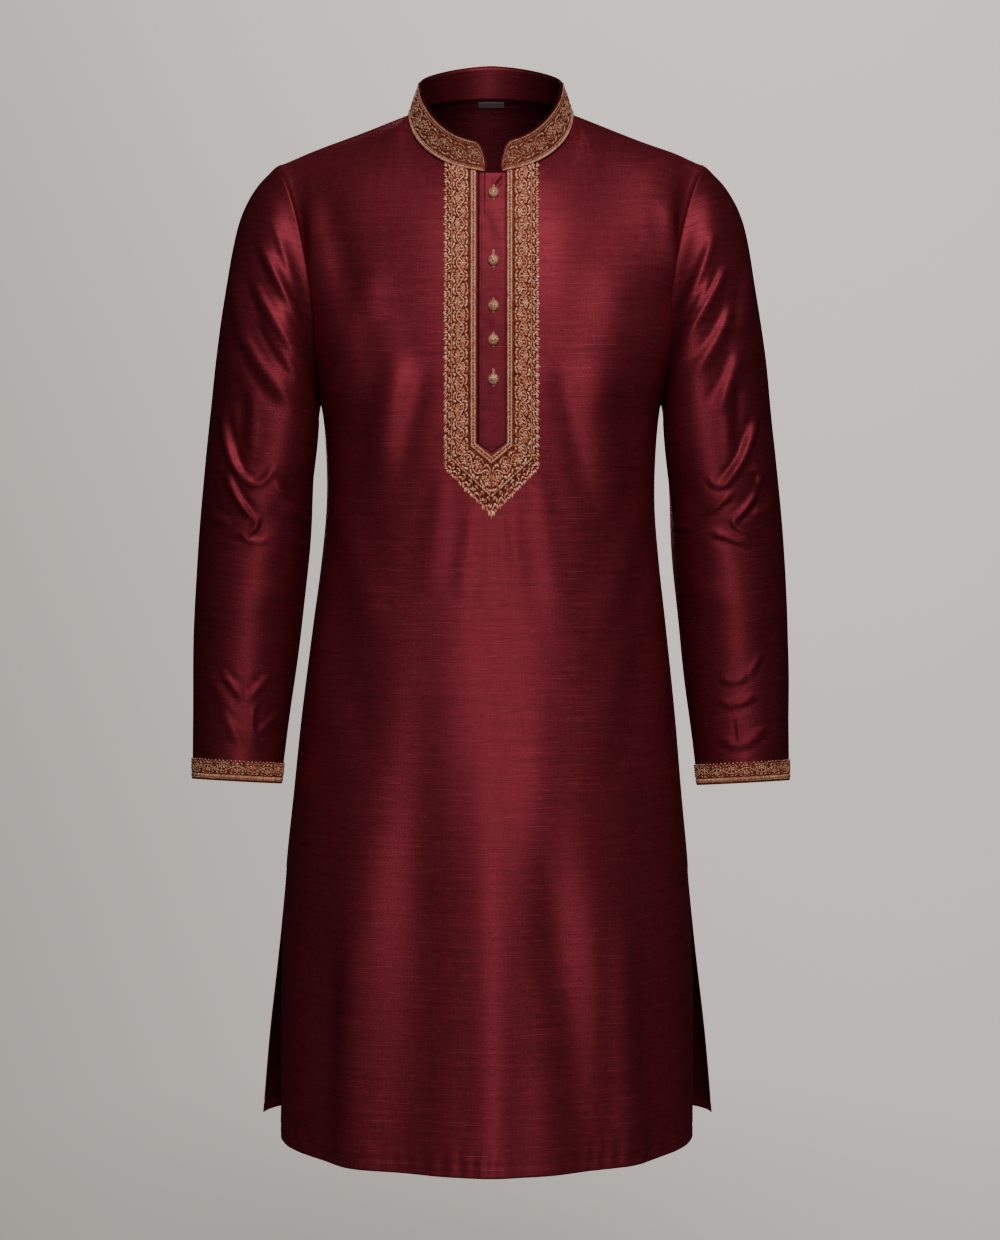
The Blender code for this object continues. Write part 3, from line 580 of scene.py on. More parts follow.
back = {
    "folds": metres(6, (
        (0, -500, -8, -1060, 36, 9, 0.45, 0),
        (92, -680, 112, -1060, 30, 10, 0.5, 0),
        (-80, -740, -100, -1060, 30, 9.5, 0.5, 0),
        (48, -640, 50, -1060, 26, -8, 0.5, 0),
        (-46, -700, -58, -1060, 24, -8.5, 0.5, 0),
        (90, -200, 130, -300, 18, 5, 0.35, 0.4),
        (-96, -190, -132, -300, 18, 5, 0.35, 0.4),
    )),
    "creases": metres(8, (
        (0, 0, 4, -90, 0, -200, 16, -2, 1.6),
        (-50, -10, -62, -80, -64, -190, 14, 2.2, 1.5),
        (56, -10, 70, -70, 78, -170, 15, 2.2, 1.5),
        (-155, -110, -120, -170, -70, -210, 12, 2.8, 1.2),
        (158, -100, 124, -160, 80, -215, -12, 2.8, 1.2),
        (-150, -250, -110, -320, -50, -370, 13, 2.6, 1.2),
        (152, -260, 120, -320, 64, -380, -13, 2.6, 1.2),
        (-120, -400, -60, -425, 0, -420, 12, 2.2, 1),
        (10, -440, 70, -455, 130, -430, 12, 2.2, 1),
        (-90, -470, -94, -600, -88, -760, 15, 2.2, 1.3),
        (78, -490, 86, -620, 84, -760, 15, 2, 1.3),
        (-78, -740, -82, -880, -82, -1070, 9, 2.2, 1.4),
        (26, -720, 22, -880, 28, -1070, 9, 2, 1.3),
        (130, -760, 140, -900, 146, -1070, 11, 2.6, 1.3),
        (-136, -780, -146, -900, -152, -1070, 11, 2.6, 1.3),
    )),
    "seed": 8, "uneven": 0.0012,
}
hem = {
    "deep": 0.012, "groove": 0.00035, "pucker": 0.0006, "wave": 430.0,
    "half": 0.29, "drop": 0.746,  # half the width at the hem, and the drop from the chest
    "turned": 0.011, "thread": (0.0024, 0.00045, 0.00028),
}
seam = {"ridge": 0.0007, "side": 0.0032, "top": 0.0036, "wide": 0.0018, "apart": 0.0002}


def panelLift(base, column, panel):
    x, z = base[..., 0], base[..., 2]
    below = ease(-0.70, -0.95, z)
    calm = ease(1.0, 0.86, np.abs(column)) * (1 - 0.22 * below)
    lift = foldLift(panel["folds"], x, z) * calm
    edge = ease(1.0, 0.90, np.abs(column))
    quiet = ease(-0.06, -0.14, z)  # little unevenness under the collar and the bands
    uneven = panel["uneven"] * ripple(x, z, panel["seed"]) * quiet
    lift = lift + (creaseLift(panel["creases"], x, z) + uneven) * edge
    stitch = z - (body["hem"] + hem["deep"])
    lift = lift - hem["groove"] * np.exp(-(stitch / 0.0022) ** 2)
    gather = np.sin(x * hem["wave"] + 1.7 * np.sin(x * 61.0))
    gather = gather * (0.5 + 0.5 * np.sin(x * 37.0 + panel["seed"]))
    return lift + hem["pucker"] * gather * np.exp(-(stitch / 0.011) ** 2)


def makePanel(name, isBack, panel, node):
    fine = 28 if isBack else 42  # columns from the middle to the side of the neck
    half = np.concatenate([
        np.linspace(0.0, body["neckShare"], fine + 1)[:-1],
        np.linspace(body["neckShare"], 0.985, round((0.985 / body["neckShare"] - 1.0) * fine) + 1),
        [0.9885, 0.992, 0.996, 1.0],
    ])
    columns = np.concatenate([-half[:0:-1], half])
    places = np.concatenate([
        [0.0, 0.006, 0.012, 0.018], np.linspace(0.03, 1.0, 68),
        np.linspace(1.0, 1.975, 136)[1:], np.linspace(1.975, 2.0, 10)[1:],
    ])
    column, place = np.meshgrid(columns, places)
    base = panelBase(column, place, isBack)
    depth = base[..., 1].copy()  # evens out the bend below the side of the neck
    for _ in range(36 if isBack else 80):
        depth[:, 1:-1] = (depth[:, :-2] + 2 * depth[:, 1:-1] + depth[:, 2:]) / 4
    evened = ease(0.02, 0.16, place) * ease(1.0, 0.80, place) * ease(0.98, 0.90, np.abs(column))
    base[..., 1] += (depth - base[..., 1]) * evened
    normal = unit(np.cross(np.gradient(base, axis=1), np.gradient(base, axis=0)))
    normal = normal if isBack else -normal
    for _ in range(30):
        normal[:, 1:-1] = unit(normal[:, :-2] + 2 * normal[:, 1:-1] + normal[:, 2:])
    lift = panelLift(base, column, panel)
    toSide = (1.0 - np.abs(column)) * 0.20  # about the distance to the side edge
    toTop = place * 0.26
    ridge = np.exp(-((toSide - seam["side"]) / seam["wide"]) ** 2) * (base[..., 2] > body["slit"])
    aside = ease(0.016, 0.022, np.abs(base[..., 0]))
    ridge = ridge + np.exp(-((toTop - seam["top"]) / seam["wide"]) ** 2) * aside
    points = base + normal * (lift + seam["ridge"] * ridge)[..., None]
    side = 1.0 if isBack else -1.0
    joined = (np.abs(column) > 0.999) & (base[..., 2] > body["slit"])
    joined[0, np.abs(columns) >= body["neckShare"]] = True
    points[..., 1] -= np.where(joined, side * seam["apart"], 0.0)
    weave = panelWeave(base, columns, places)
    finalNormal = unit(np.cross(np.gradient(points, axis=1), np.gradient(points, axis=0)))
    panel["columns"], panel["places"] = columns, places
    panel["points"], panel["normals"] = points, finalNormal if isBack else -finalNormal
    mesh = gridMesh(name, points, panel["normals"], weave)
    return sheet(mesh, silkCloth, body["thick"], (node,), innerShade=silkInnerShade)


def panelWeave(base, columns, places):  # the cloth's own flat places, in metres
    middle = len(columns) // 2
    along = walked(base, 1)
    along = along - along[:, middle:middle + 1]
    chestRow = int(np.searchsorted(places, 1.0))
    blendTo = ease(0.0, 1.0, places)[:, None]
    upper = base[..., 0] + (along[chestRow] - base[chestRow, :, 0]) * blendTo
    u = np.where(places[:, None] < 1.0, upper, along)
    down = np.linalg.norm(np.diff(base, axis=0), axis=-1)
    run = np.sqrt(np.maximum(down ** 2 - np.diff(u, axis=0) ** 2, 0.0))
    v = np.concatenate([np.zeros((1, len(columns))), np.cumsum(run, axis=0)])
    v = v - v[chestRow]
    return np.stack([u, -v], -1)


def placeAt(level):  # where a level below the chest lies along a panel
    return 1.0 + (level - body["chest"]) / (body["hem"] - body["chest"])


def onPanel(panel, column, place):  # the finished face and its normal at a column and place
    return onFace(panel, numbered(place, panel["places"]), numbered(column, panel["columns"]))


frontPanel = makePanel("frontPanel", False, front, "front_panel")
backPanel = makePanel("backPanel", True, back, "back_panel")


# Sleeves

sleeve = {
    "outer": {"t": tuple(i / 11 for i in range(12)),
              "side": (0.2188, 0.2383, 0.2530, 0.2620, 0.2703, 0.2790,
                       0.2845, 0.2915, 0.2970, 0.3005, 0.3010, 0.3005),
              "level": (-0.0470, -0.0678, -0.0945, -0.1265, -0.1780, -0.2390,
                        -0.2950, -0.3630, -0.4350, -0.5150, -0.6090, -0.6720)},
    "inner": {"t": tuple(i / 6 for i in range(7)),
              "side": (0.1720, 0.1766, 0.1810, 0.1840, 0.1910, 0.2010, 0.2085),
              "level": (-0.2840, -0.3050, -0.3630, -0.4350, -0.5150, -0.6090, -0.6770)},
    "share": (0.00, 0.15, 0.30, 0.50, 0.70, 0.85, 1.00),
    "depth": (0.052, 0.063, 0.066, 0.060, 0.051, 0.044, 0.038),
    "centre": (0.004, 0.003, 0.002, -0.003, -0.011, -0.019, -0.028),
    "tip": (0.0000, 0.0000, 0.0000, 0.0005, 0.0020, 0.0035, 0.0050),
    "fade": 0.28, "radius": 0.056 * math.pi / 180, "uneven": 0.0010, "seam": 0.0003,
    "raised": {"right": (0.0, 0.0, 0.0042), "left": (0.0032, 0.0, 0.0058)},  # how the ends are moved
    "seed": {"right": 5, "left": 6},
    "folds": (  # x is degrees round the arm, 90 at the front
        (80, -0.115, 140, -0.225, 0.014, 0.0050, 0.30, 0.3),
        (60, -0.165, 125, -0.285, 0.016, 0.0055, 0.30, 0.3),
        (290, -0.130, 220, -0.240, 0.016, 0.0050, 0.30, 0.3),
        (30, -0.330, 130, -0.415, 0.016, 0.0060, 0.25, 0.3),
        (150, -0.350, 60, -0.465, 0.015, -0.0055, 0.25, 0.3),
        (150, -0.470, 40, -0.500, 0.016, 0.0050, 0.25, 0.3),
        (330, -0.380, 220, -0.420, 0.018, 0.0050, 0.25, 0.3),
    ),
}
sleeveCreases = {
    "leftFront": metres(8, (
        (204, 20, 200, -200, 190, -460, 24, 11.5, 1.1),
        (214, -112, 200, -150, 186, -196, -4.2, 2.2, 1.2),
        (235, -118, 215, -168, 177, -226, -4.2, 3, 1.3),
        (241, -156, 219, -208, 189, -256, -4.8, 3.2, 1.3),
        (231, -198, 212, -238, 190, -274, -3.6, 2, 1.2),
        (250, -212, 227, -262, 192, -298, -6, 2.8, 1.3),
        (222, -98, 208, -135, 196, -168, -3, 1.2, 1.2),
        (262, -150, 252, -200, 240, -240, -7, 2, 1.3),
        (247, -272, 246, -310, 250, -348, 7.2, -2.6, 1),
        (268, -290, 264, -345, 242, -366, 4.4, 3.6, 1),
        (249, -360, 228, -382, 212, -346, 3.8, 2.4, 1),
        (263, -350, 255, -386, 232, -406, 3.8, 2.7, 1),
        (233, -398, 226, -420, 258, -421, 3.4, 2.1, 1),
        (217, -360, 207, -388, 190, -410, 4.2, 2.6, 1.1),
        (206, -380, 196, -398, 184, -414, 2.6, 1.4, 1),
        (204, -420, 194, -428, 186, -436, 3.4, 1.6, 1),
        (251, -419, 236, -431, 217, -422, 3, 1.6, 1),
        (284, -395, 270, -408, 256, -406, 5, 1.6, 1),
        (271, -554, 258, -567, 242, -585, 3.8, 1.4, 1.1),
        (244, -584, 231, -573, 217, -556, 3.8, 1.2, 1.1),
        (231, -584, 243, -606, 230, -624, 3.4, 1.1, 1),
        (235, -619, 222, -611, 210, -594, 3.6, 1.1, 1),
        (272, -590, 258, -606, 246, -634, 4.6, 1.1, 1.2),
        (284, -548, 268, -582, 250, -604, 5, 0.9, 1.2),
    )),
    "rightFront": metres(8, (
        (204, 20, 200, -200, 190, -460, 24, 11.5, 1.1),
        (207, -83, 202, -130, 182, -184, 4.2, 2, 1.2),
        (224, -112, 212, -160, 178, -218, 4.2, 3, 1.3),
        (222, -156, 208, -192, 186, -230, 2.8, 1.6, 1.1),
        (237, -145, 222, -186, 188, -240, 4.4, 3, 1.3),
        (242, -182, 229, -228, 200, -268, 5, 3, 1.3),
        (248, -228, 240, -270, 220, -304, 6.2, 2.4, 1.2),
        (265, -140, 258, -185, 248, -225, 7, 2, 1.3),
        (246, -258, 244, -305, 248, -348, 7.4, -2.7, 1),
        (266, -290, 258, -346, 224, -376, 4.2, 3.4, 1.1),
        (216, -358, 221, -378, 240, -366, 3.2, 1.8, 1),
        (254, -356, 273, -350, 263, -378, 3, 2.4, 1),
        (265, -370, 259, -392, 236, -408, -3.4, 3, 1),
        (236, -402, 243, -414, 262, -422, 3.2, 2.2, 1),
        (214, -416, 236, -421, 260, -431, 3.4, 2.2, 1),
        (184, -411, 193, -414, 204, -412, 3, 1.6, 1),
        (212, -402, 226, -388, 242, -376, 3.6, 1.6, 1),
        (284, -385, 272, -398, 258, -400, 4.8, 1.8, 1),
        (224, -558, 242, -573, 258, -554, 3.8, 1.2, 1.1),
        (255, -560, 263, -550, 270, -534, 3.6, 1, 1),
        (220, -580, 243, -598, 269, -572, 3.8, 1.4, 1.1),
        (224, -616, 247, -646, 282, -600, 4.4, 1.4, 1.1),
        (245, -598, 246, -612, 247, -628, 2.4, 0.7, 1),
    )),
    "leftBack": metres(8, (
        (236, -110, 214, -160, 190, -224, 6, 2.8, 1.2),
        (248, -150, 222, -210, 188, -266, 6.4, 3, 1.2),
        (254, -210, 232, -256, 196, -300, 6.4, 2.6, 1.2),
        (204, -330, 240, -372, 284, -380, 5.6, 3.4, 1.1),
        (198, -386, 240, -404, 286, -430, 5, 2.6, 1.1),
        (210, -440, 244, -452, 282, -446, 4.8, 1.9, 1.1),
        (214, -560, 246, -590, 286, -568, 4.6, 1.4, 1.1),
        (230, -610, 252, -634, 280, -612, 4.6, 1.2, 1),
    )),
    "rightBack": metres(8, (
        (240, -104, 218, -150, 194, -210, 6, 2.8, 1.2),
        (250, -160, 226, -220, 192, -284, 6.4, 2.8, 1.2),
        (256, -226, 236, -270, 198, -310, 6, 2.4, 1.2),
        (202, -320, 236, -356, 280, -372, 5.6, 3.4, 1.1),
        (196, -374, 240, -412, 288, -420, 5, 2.4, 1.1),
        (212, -448, 246, -462, 286, -452, 4.8, 1.8, 1.1),
        (218, -552, 250, -584, 288, -560, 4.6, 1.4, 1.1),
        (228, -600, 256, -622, 284, -604, 4.6, 1.1, 1),
    )),
}


def alongLine(line, share):
    dense = np.linspace(0.0, 1.0, 200)
    side, level = through(line, "t", "side", dense), through(line, "t", "level", dense)
    steps = walked(np.stack([side, level], -1))
    return np.interp(share, steps / steps[-1], side), np.interp(share, steps / steps[-1], level)


def armhole(turn):  # 0 at the shoulder, 180 at the underarm, 360 at the shoulder
    ahead = turn <= 180.0
    place = np.minimum(np.where(ahead, turn, 360.0 - turn) / 180.0, 0.999999)
    edge = np.ones_like(place)
    return np.where(ahead[..., None], panelBase(edge, place, False), panelBase(edge, place, True))


def sleeveBase(turn, share, hole):
    outerX, outerZ = alongLine(sleeve["outer"], share)
    innerX, innerZ = alongLine(sleeve["inner"], share)
    depth, centre, tip = (through(sleeve, "share", name, share) for name in ("depth", "centre", "tip"))
    angle = np.radians(turn)
    lean = (1.0 + np.cos(angle)) / 2.0
    rounded = np.stack([
        innerX + (outerX - innerX) * lean,
        centre - depth * np.sin(angle),
        innerZ + (outerZ - innerZ) * lean + tip * np.sin(angle),
    ], -1)
    first = np.stack([
        body["underarmSide"] + (body["shoulderSide"] - body["underarmSide"]) * lean,
        body["seamY"] - sleeve["depth"][0] * np.sin(angle),
        body["chest"] + (body["shoulderLevel"] - body["chest"]) * lean,
    ], -1)
    return rounded + (hole - first) * (1.0 - ease(0.0, sleeve["fade"], share))[..., None]


def makeSleeve(name, mirror, node):
    hand = "right" if mirror > 0 else "left"
    turns = np.concatenate([np.linspace(0.0, 180.0, 93), np.linspace(180.0, 360.0, 57)[1:]])
    shares = np.concatenate([[0.0, 0.005, 0.010, 0.016], np.linspace(0.024, 1.0, 184)])
    turn, share = np.meshgrid(turns, shares)
    hole = armhole(turns)[None]
    base = sleeveBase(turn, share, hole)
    ring = base[:, :-1]
    around = unit(np.roll(ring, -1, axis=1) - ring) + unit(ring - np.roll(ring, 1, axis=1))
    around = np.concatenate([around, around[:, :1]], axis=1)
    normal = unit(np.cross(around, np.gradient(base, axis=0)))
    lowered = ease(0.25, 1.0, share)
    inward = (1.0 - np.cos(np.radians(turn))) / 2.0
    moved = np.stack([lowered * inward, lowered, lowered], -1)
    base = base + np.array(sleeve["raised"][hand]) * moved
    x, z = base[..., 0], base[..., 2]
    ahead = np.sin(np.radians(turn))
    lift = foldLift(sleeve["folds"], turn, z, sleeve["radius"]) * (0.62 - 0.36 * ahead)
    lift = lift + creaseLift(sleeveCreases[hand + "Front"], x, z) * ease(0.05, 0.45, ahead)
    lift = lift + creaseLift(sleeveCreases[hand + "Back"], x, z) * ease(-0.05, -0.45, ahead)
    place = np.abs(ahead) * 0.05 + 0.3 * (ahead > 0)
    lift = lift + sleeve["uneven"] * ripple(place, z * 2.5, sleeve["seed"][hand])
    lift = lift * ease(0.0, 0.10, share) * (1.0 - 0.6 * ease(0.93, 1.0, share))
    lift = lift + sleeve["seam"] * np.exp(-((share * 0.6 - 0.0045) / 0.0022) ** 2)
    points = base + normal * lift[..., None]
    points[0, :, 0] -= 0.0003
    points[:, -1] = points[:, 0]
    across = walked(points * np.array([1.0, 1.0, 0.0]), 1)
    down = walked(base) + base[0, :, 2].max() - base[0, :, 2]
    weave = np.stack([across + (1.0 if mirror > 0 else 2.0), -down], -1)
    flip = np.array([mirror, 1.0, 1.0])
    grid = {"turns": turns, "shares": shares, "points": points * flip, "normals": normal * flip}
    mesh = gridMesh(name, grid["points"], grid["normals"], weave, closed=True)
    return sheet(mesh, silkSleeveShade, body["thick"], (node,)), grid


sleeveRight, rightGrid = makeSleeve("sleeveRight", 1.0, "sleeve_right")
sleeveLeft, leftGrid = makeSleeve("sleeveLeft", -1.0, "sleeve_left")


# Embroidery: small raised shapes are laid out flat, then bent onto the cloth

def readShape(shape):
    bmesh.ops.triangulate(shape, faces=shape.faces[:])
    points = np.array([vert.co[:] for vert in shape.verts])
    shape.verts.index_update()
    faces = np.array([[vert.index for vert in face.verts] for face in shape.faces])
    shape.free()
    return points, faces


def padShape(sides, rings, point):  # a low pointed dome, one unit in half length and half width
    shape = bmesh.new()
    bmesh.ops.create_uvsphere(shape, u_segments=sides, v_segments=rings, radius=1.0)
    turn = Matrix.Rotation(math.pi / 2, 3, "Y")
    bmesh.ops.rotate(shape, verts=shape.verts[:], cent=(0, 0, 0), matrix=turn)
    points, faces = readShape(shape)
    points[:, 1] *= 1.0 - point * np.abs(points[:, 0]) ** 1.5
    points[:, 2] = np.where(points[:, 2] < 0, points[:, 2] * 0.25, points[:, 2])
    return points, faces


leafPad = padShape(6, 5, 0.45)
smallPad = padShape(5, 4, 0.45)
beadPad = padShape(5, 4, 0.0)
cordShapes = {}


def cordShape(rows, sides):  # a capped tube: each point's row and its turn
    if (rows, sides) not in cordShapes:
        shape = bmesh.new()
        bmesh.ops.create_cone(
            shape, cap_ends=True, segments=sides, radius1=1.0, radius2=1.0, depth=1.0)
        upright = [edge for edge in shape.edges
                   if abs(edge.verts[0].co.z - edge.verts[1].co.z) > 0.5]
        bmesh.ops.subdivide_edges(shape, edges=upright, cuts=rows - 2, use_grid_fill=True)
        points, faces = readShape(shape)
        row = np.rint((points[:, 2] + 0.5) * (rows - 1)).astype(int)
        cordShapes[rows, sides] = (row, np.arctan2(points[:, 1], points[:, 0]), faces)
    return cordShapes[rows, sides]


def newBunch(seed):
    draw = np.random.default_rng(seed)
    return {"points": [], "faces": [], "local": [], "tone": [], "count": 0, "draw": draw}


def addToBunch(bunch, points, faces, local, tone):
    bunch["points"].append(points)
    bunch["local"].append(local)
    bunch["tone"].append(tone)
    bunch["faces"].append(faces + bunch["count"])
    bunch["count"] += len(points)


def addPads(bunch, pad, x, y, turn, length, width, height):
    given = np.broadcast_arrays(x, y, turn, length, width, height)
    x, y, turn, length, width, height = (np.atleast_1d(part).astype(float) for part in given)
    points, faces = pad
    local = points[None] * np.stack([length / 2, width / 2, height], -1)[:, None, :]
    c, s = np.cos(turn)[:, None], np.sin(turn)[:, None]
    flat = np.stack([
        x[:, None] + local[..., 0] * c - local[..., 1] * s,
        y[:, None] + local[..., 0] * s + local[..., 1] * c,
        local[..., 2],
    ], -1)
    faces = faces[None] + np.arange(len(x))[:, None, None] * len(points)
    tone = np.repeat(bunch["draw"].uniform(0.0, 1.0, len(x)), len(points))
    addToBunch(bunch, flat.reshape(-1, 3), faces.reshape(-1, 3), local[..., :2].reshape(-1, 2), tone)


def addCord(bunch, path, radius, height, sides=6):
    path = np.asarray(path, float)
    row, turn, faces = cordShape(len(path), sides)
    run = unit(np.gradient(path, axis=0))
    aside = np.stack([-run[:, 1], run[:, 0]], -1)
    length = walked(path)
    flat = path[row] + aside[row] * (radius * np.cos(turn))[:, None]
    rise = np.where(np.sin(turn) < 0, 0.25, 1.0) * np.sin(turn) * height
    tone = np.full(len(row), bunch["draw"].uniform(0.3, 0.8))
    local = np.column_stack([length[row], turn * radius])
    addToBunch(bunch, np.column_stack([flat, rise]), faces, local, tone)


def sewn(name, bunch, bend, finish):  # bends a bunch onto its cloth and makes it one piece
    flat = np.concatenate(bunch["points"])
    faces = np.concatenate(bunch["faces"])
    points = bend(flat)
    a, b, c = (points[faces[:, i]] for i in range(3))
    if np.einsum("ij,ij->i", a, np.cross(b, c)).sum() < 0:
        faces = faces[:, ::-1]
    mesh = bpy.data.meshes.new(name)
    mesh.from_pydata(points.tolist(), [], faces.tolist())
    setWeave(mesh, np.concatenate(bunch["local"]))
    mesh.attributes.new("tone", "FLOAT", "POINT").data.foreach_set(
        "value", np.concatenate(bunch["tone"]).astype(np.float32))
    print("sewn", name, len(faces), "faces")
    return placed(mesh, finish, ())


vineMotif = {  # half a repeat, in millimetres: a stem arches over a rosette
    "step": 13.0, "width": 14.2, "arch": 3.3,
    "rosette": (6.5, -2.3, 2.1, 3.1, 2.0),
    "leaves": (  # x, y, turn, length, width
        (6.5, 5.7, 0, 4.6, 1.9), (2.7, 4.9, 48, 3.9, 1.7), (10.3, 4.9, 132, 3.9, 1.7),
        (1.7, -5.6, -24, 4.2, 1.7), (11.3, -5.6, 24, 4.2, 1.7), (3.1, 0.6, 62, 3.0, 1.4),
        (9.9, 0.6, 118, 3.0, 1.4), (4.6, -6.4, 8, 2.8, 1.2), (8.4, -6.4, -8, 2.8, 1.2),
        (0.3, 2.6, 80, 2.8, 1.3), (6.5, 1.6, 0, 2.4, 1.1),
    ),
    "dots": ((6.5, -2.3, 2.0), (1.0, -0.9, 1.1), (12.0, -0.9, 1.1)),
    "curls": ((2.2, -2.7, 1.35, 1), (10.8, -2.7, 1.35, -1)),
    "high": 0.0011, "curlThread": (0.00048, 0.0008),
}


def addVine(bunch, start, end, middle, width, repeat, pad, stout=1.36, stem=0.00054):
    motif = vineMotif
    count = max(2, round((end - start) / repeat))
    step = (end - start) / count
    sx, sy = step / motif["step"], width / motif["width"]
    number = np.arange(count)
    side = np.where(number % 2 == 0, 1.0, -1.0)
    origin = start + number * step
    size = (sx + sy) / 2
    jitter = lambda amount: bunch["draw"].uniform(-amount, amount, count)
    for x, y, turn, length, wide in motif["leaves"]:
        addPads(bunch, pad, origin + x * sx + jitter(0.0002), middle + side * y * sy + jitter(0.0002),
                side * math.radians(turn) + jitter(0.12), length * size * (1 + jitter(0.08)),
                wide * size * stout, motif["high"] * (1 + jitter(0.15)))
    cx, cy, reach, length, wide = motif["rosette"]
    for petal in range(6):
        turn = math.radians(petal * 60 + 30)
        x, y = cx + reach * math.cos(turn), cy + reach * math.sin(turn)
        addPads(bunch, pad, origin + x * sx, middle + side * y * sy,
                side * turn + jitter(0.10), length * size, wide * size, motif["high"] * 0.95)
    for x, y, wide in motif["dots"]:
        addPads(bunch, beadPad, origin + x * sx, middle + side * y * sy, 0.0,
                wide * size, wide * size, motif["high"] * 1.25)
    for x, y, reach, hand in motif["curls"]:
        turn = np.linspace(0.0, 7.4, 9)
        radius = reach * (1.0 - turn / 9.6)
        for place, flip in zip(origin, side):
            path = np.stack([place + (x + hand * radius * np.cos(turn)) * sx,
                             middle + flip * (y + radius * np.sin(turn)) * sy], -1)
            addCord(bunch, path, *motif["curlThread"], 4)
    t = np.linspace(0.0, count, count * 7 + 1)
    line = np.stack([start + t * step, middle + motif["arch"] * sy * np.sin(math.pi * t)], -1)
    addCord(bunch, line, stem, stem * 1.5)


def addRope(bunch, start, end, middle, pitch, width, lean, high):
    x = np.arange(start + pitch / 2, end, pitch)
    addPads(bunch, beadPad, x, middle, lean, width * 1.12, pitch * 1.15, high)


picotPads = (  # place along the pitch, depth, turn, length and width
    (0.50, 0.26, -1.50, 0.52, 0.32), (0.20, 0.34, -2.25, 0.46, 0.28), (0.80, 0.34, -0.90, 0.46, 0.28),
    (0.02, 0.50, -1.40, 0.40, 0.26), (0.36, 0.74, 0.55, 0.50, 0.25), (0.68, 0.78, 2.60, 0.50, 0.25),
    (0.95, 0.90, 1.40, 0.40, 0.22),
)


def addPicots(bunch, start, end, deep, pitch):  # clusters of small leaves along an outer edge at 0
    count = max(1, round((end - start) / pitch))
    step = (end - start) / count
    size = (deep + step) / 2
    jitter = lambda amount: bunch["draw"].uniform(-amount, amount, count)
    for place, reach, turn, length, width in picotPads:
        x = start + (np.arange(count) + place + jitter(0.05)) * step
        addPads(bunch, smallPad, x, deep * (reach + jitter(0.05)), turn + jitter(0.30),
                length * size * (1 + jitter(0.12)), width * size * (1 + jitter(0.12)), 0.0012)


def addBranches(bunch, start, end, low, high, pitch):  # small forked sprigs standing between two bands
    count = max(1, round((end - start) / pitch))
    x = start + (np.arange(count) + 0.5) * (end - start) / count
    middle, tall = (low + high) / 2, high - low
    wobble = bunch["draw"].uniform(-0.3, 0.3, count)
    addPads(bunch, smallPad, x, middle, math.pi / 2 + wobble, tall * 0.90, 0.0016, 0.0009)
    for hand in (-1.0, 1.0):
        addPads(bunch, smallPad, x + hand * 0.0016, middle - tall * 0.10,
                math.pi / 2 + hand * 0.9 + wobble, tall * 0.55, 0.0016, 0.0009)


def addShade(bunch, start, end, low, high):  # flat dark stitches under a sparse edge, painted shade
    x = np.arange(start, end, 0.0011)
    turn = math.pi / 2 + bunch["draw"].uniform(-0.2, 0.2, len(x))
    addPads(bunch, beadPad, x, (low + high) / 2, turn, high - low, 0.0015, 0.00016)


bandForm = {  # the front band, by distance from its outer edge
    "half": 0.047, "middle": 0.001,
    "deep": (-0.002, 0.0094, 0.0257, 0.0328, 0.0345),
    "shoulder": (-0.3575, -0.3431, -0.3328, -0.3290, -0.3280),
    "apex": (-0.4088, -0.3786, -0.3507, -0.3410, -0.3386),
    "top": (-0.0520, -0.0570, -0.0627, -0.0640, -0.0642),
    "vine": (0.0088, 0.0250), "braid": (0.0262, 0.0326), "picot": 0.0080,
    "lay": 0.00035, "neckLay": 0.0008, "slant": 0.0608,
    "patchX": (-0.062, 0.064, 64), "patchZ": (-0.050, -0.420, 186),
    "squash": 0.57,  # how much closer the distances lie along the point
    "ropes": (  # distance from the edge, pitch, width, lean and height
        (0.0279, 0.0012, 0.0030, 0.6, 0.0006), (0.0309, 0.0012, 0.0030, -0.6, 0.0006),
        (0.0294, 0.0032, 0.0010, 0.0, 0.0010), (0.0086, 0.0013, 0.0013, 0.5, 0.0009),
    ),
}


def bandLevels(d):  # the levels of a line that lies d from the outer edge
    return (np.interp(d, bandForm["deep"], bandForm[name]) for name in ("shoulder", "apex", "top"))


def bandPlace(s, d, middle):  # s runs from the point up each leg, d from the outer edge in
    (shoulder, apex, top), (shoulderAt, apexAt, topAt) = bandLevels(d), bandLevels(middle)
    slant = math.hypot(bandForm["half"] - middle, shoulderAt - apexAt)
    size = np.abs(s)
    share = np.clip(size / slant, 0.0, 1.0)
    x = np.sign(s) * (bandForm["half"] - d) * share + bandForm["middle"]
    leg = (size - slant) * (top - shoulder) / (topAt - shoulderAt)
    return x, np.where(size < slant, apex + (shoulder - apex) * share, shoulder + leg)


def bandLength(middle):
    shoulder, apex, top = bandLevels(middle)
    return math.hypot(bandForm["half"] - middle, shoulder - apex) + top - shoulder


def makePatch():  # the front panel by x and level, where the bands lie
    xs, zs = np.linspace(*bandForm["patchX"]), np.linspace(*bandForm["patchZ"])
    x, z = np.meshgrid(xs, zs)
    column = np.clip(x / 0.18, -0.9, 0.9)
    place = np.where(z < body["chest"], 1.4, 0.5)
    step = 0.001
    for _ in range(12):
        here = panelBase(column, place, False)
        beside = (panelBase(column + step, place, False) - here) / step
        below = (panelBase(column, place + step, False) - here) / step
        offX, offZ = x - here[..., 0], z - here[..., 2]
        scale = beside[..., 0] * below[..., 2] - below[..., 0] * beside[..., 2]
        move = (offZ * beside[..., 0] - offX * beside[..., 2]) / scale
        column = column + np.clip((offX * below[..., 2] - offZ * below[..., 0]) / scale, -0.2, 0.2)
        place = np.clip(place + np.clip(move, -0.2, 0.2), 0.0, 1.9)
    points, normals = onPanel(front, column, place)
    return {"xs": xs, "zs": zs, "points": points, "normals": normals}


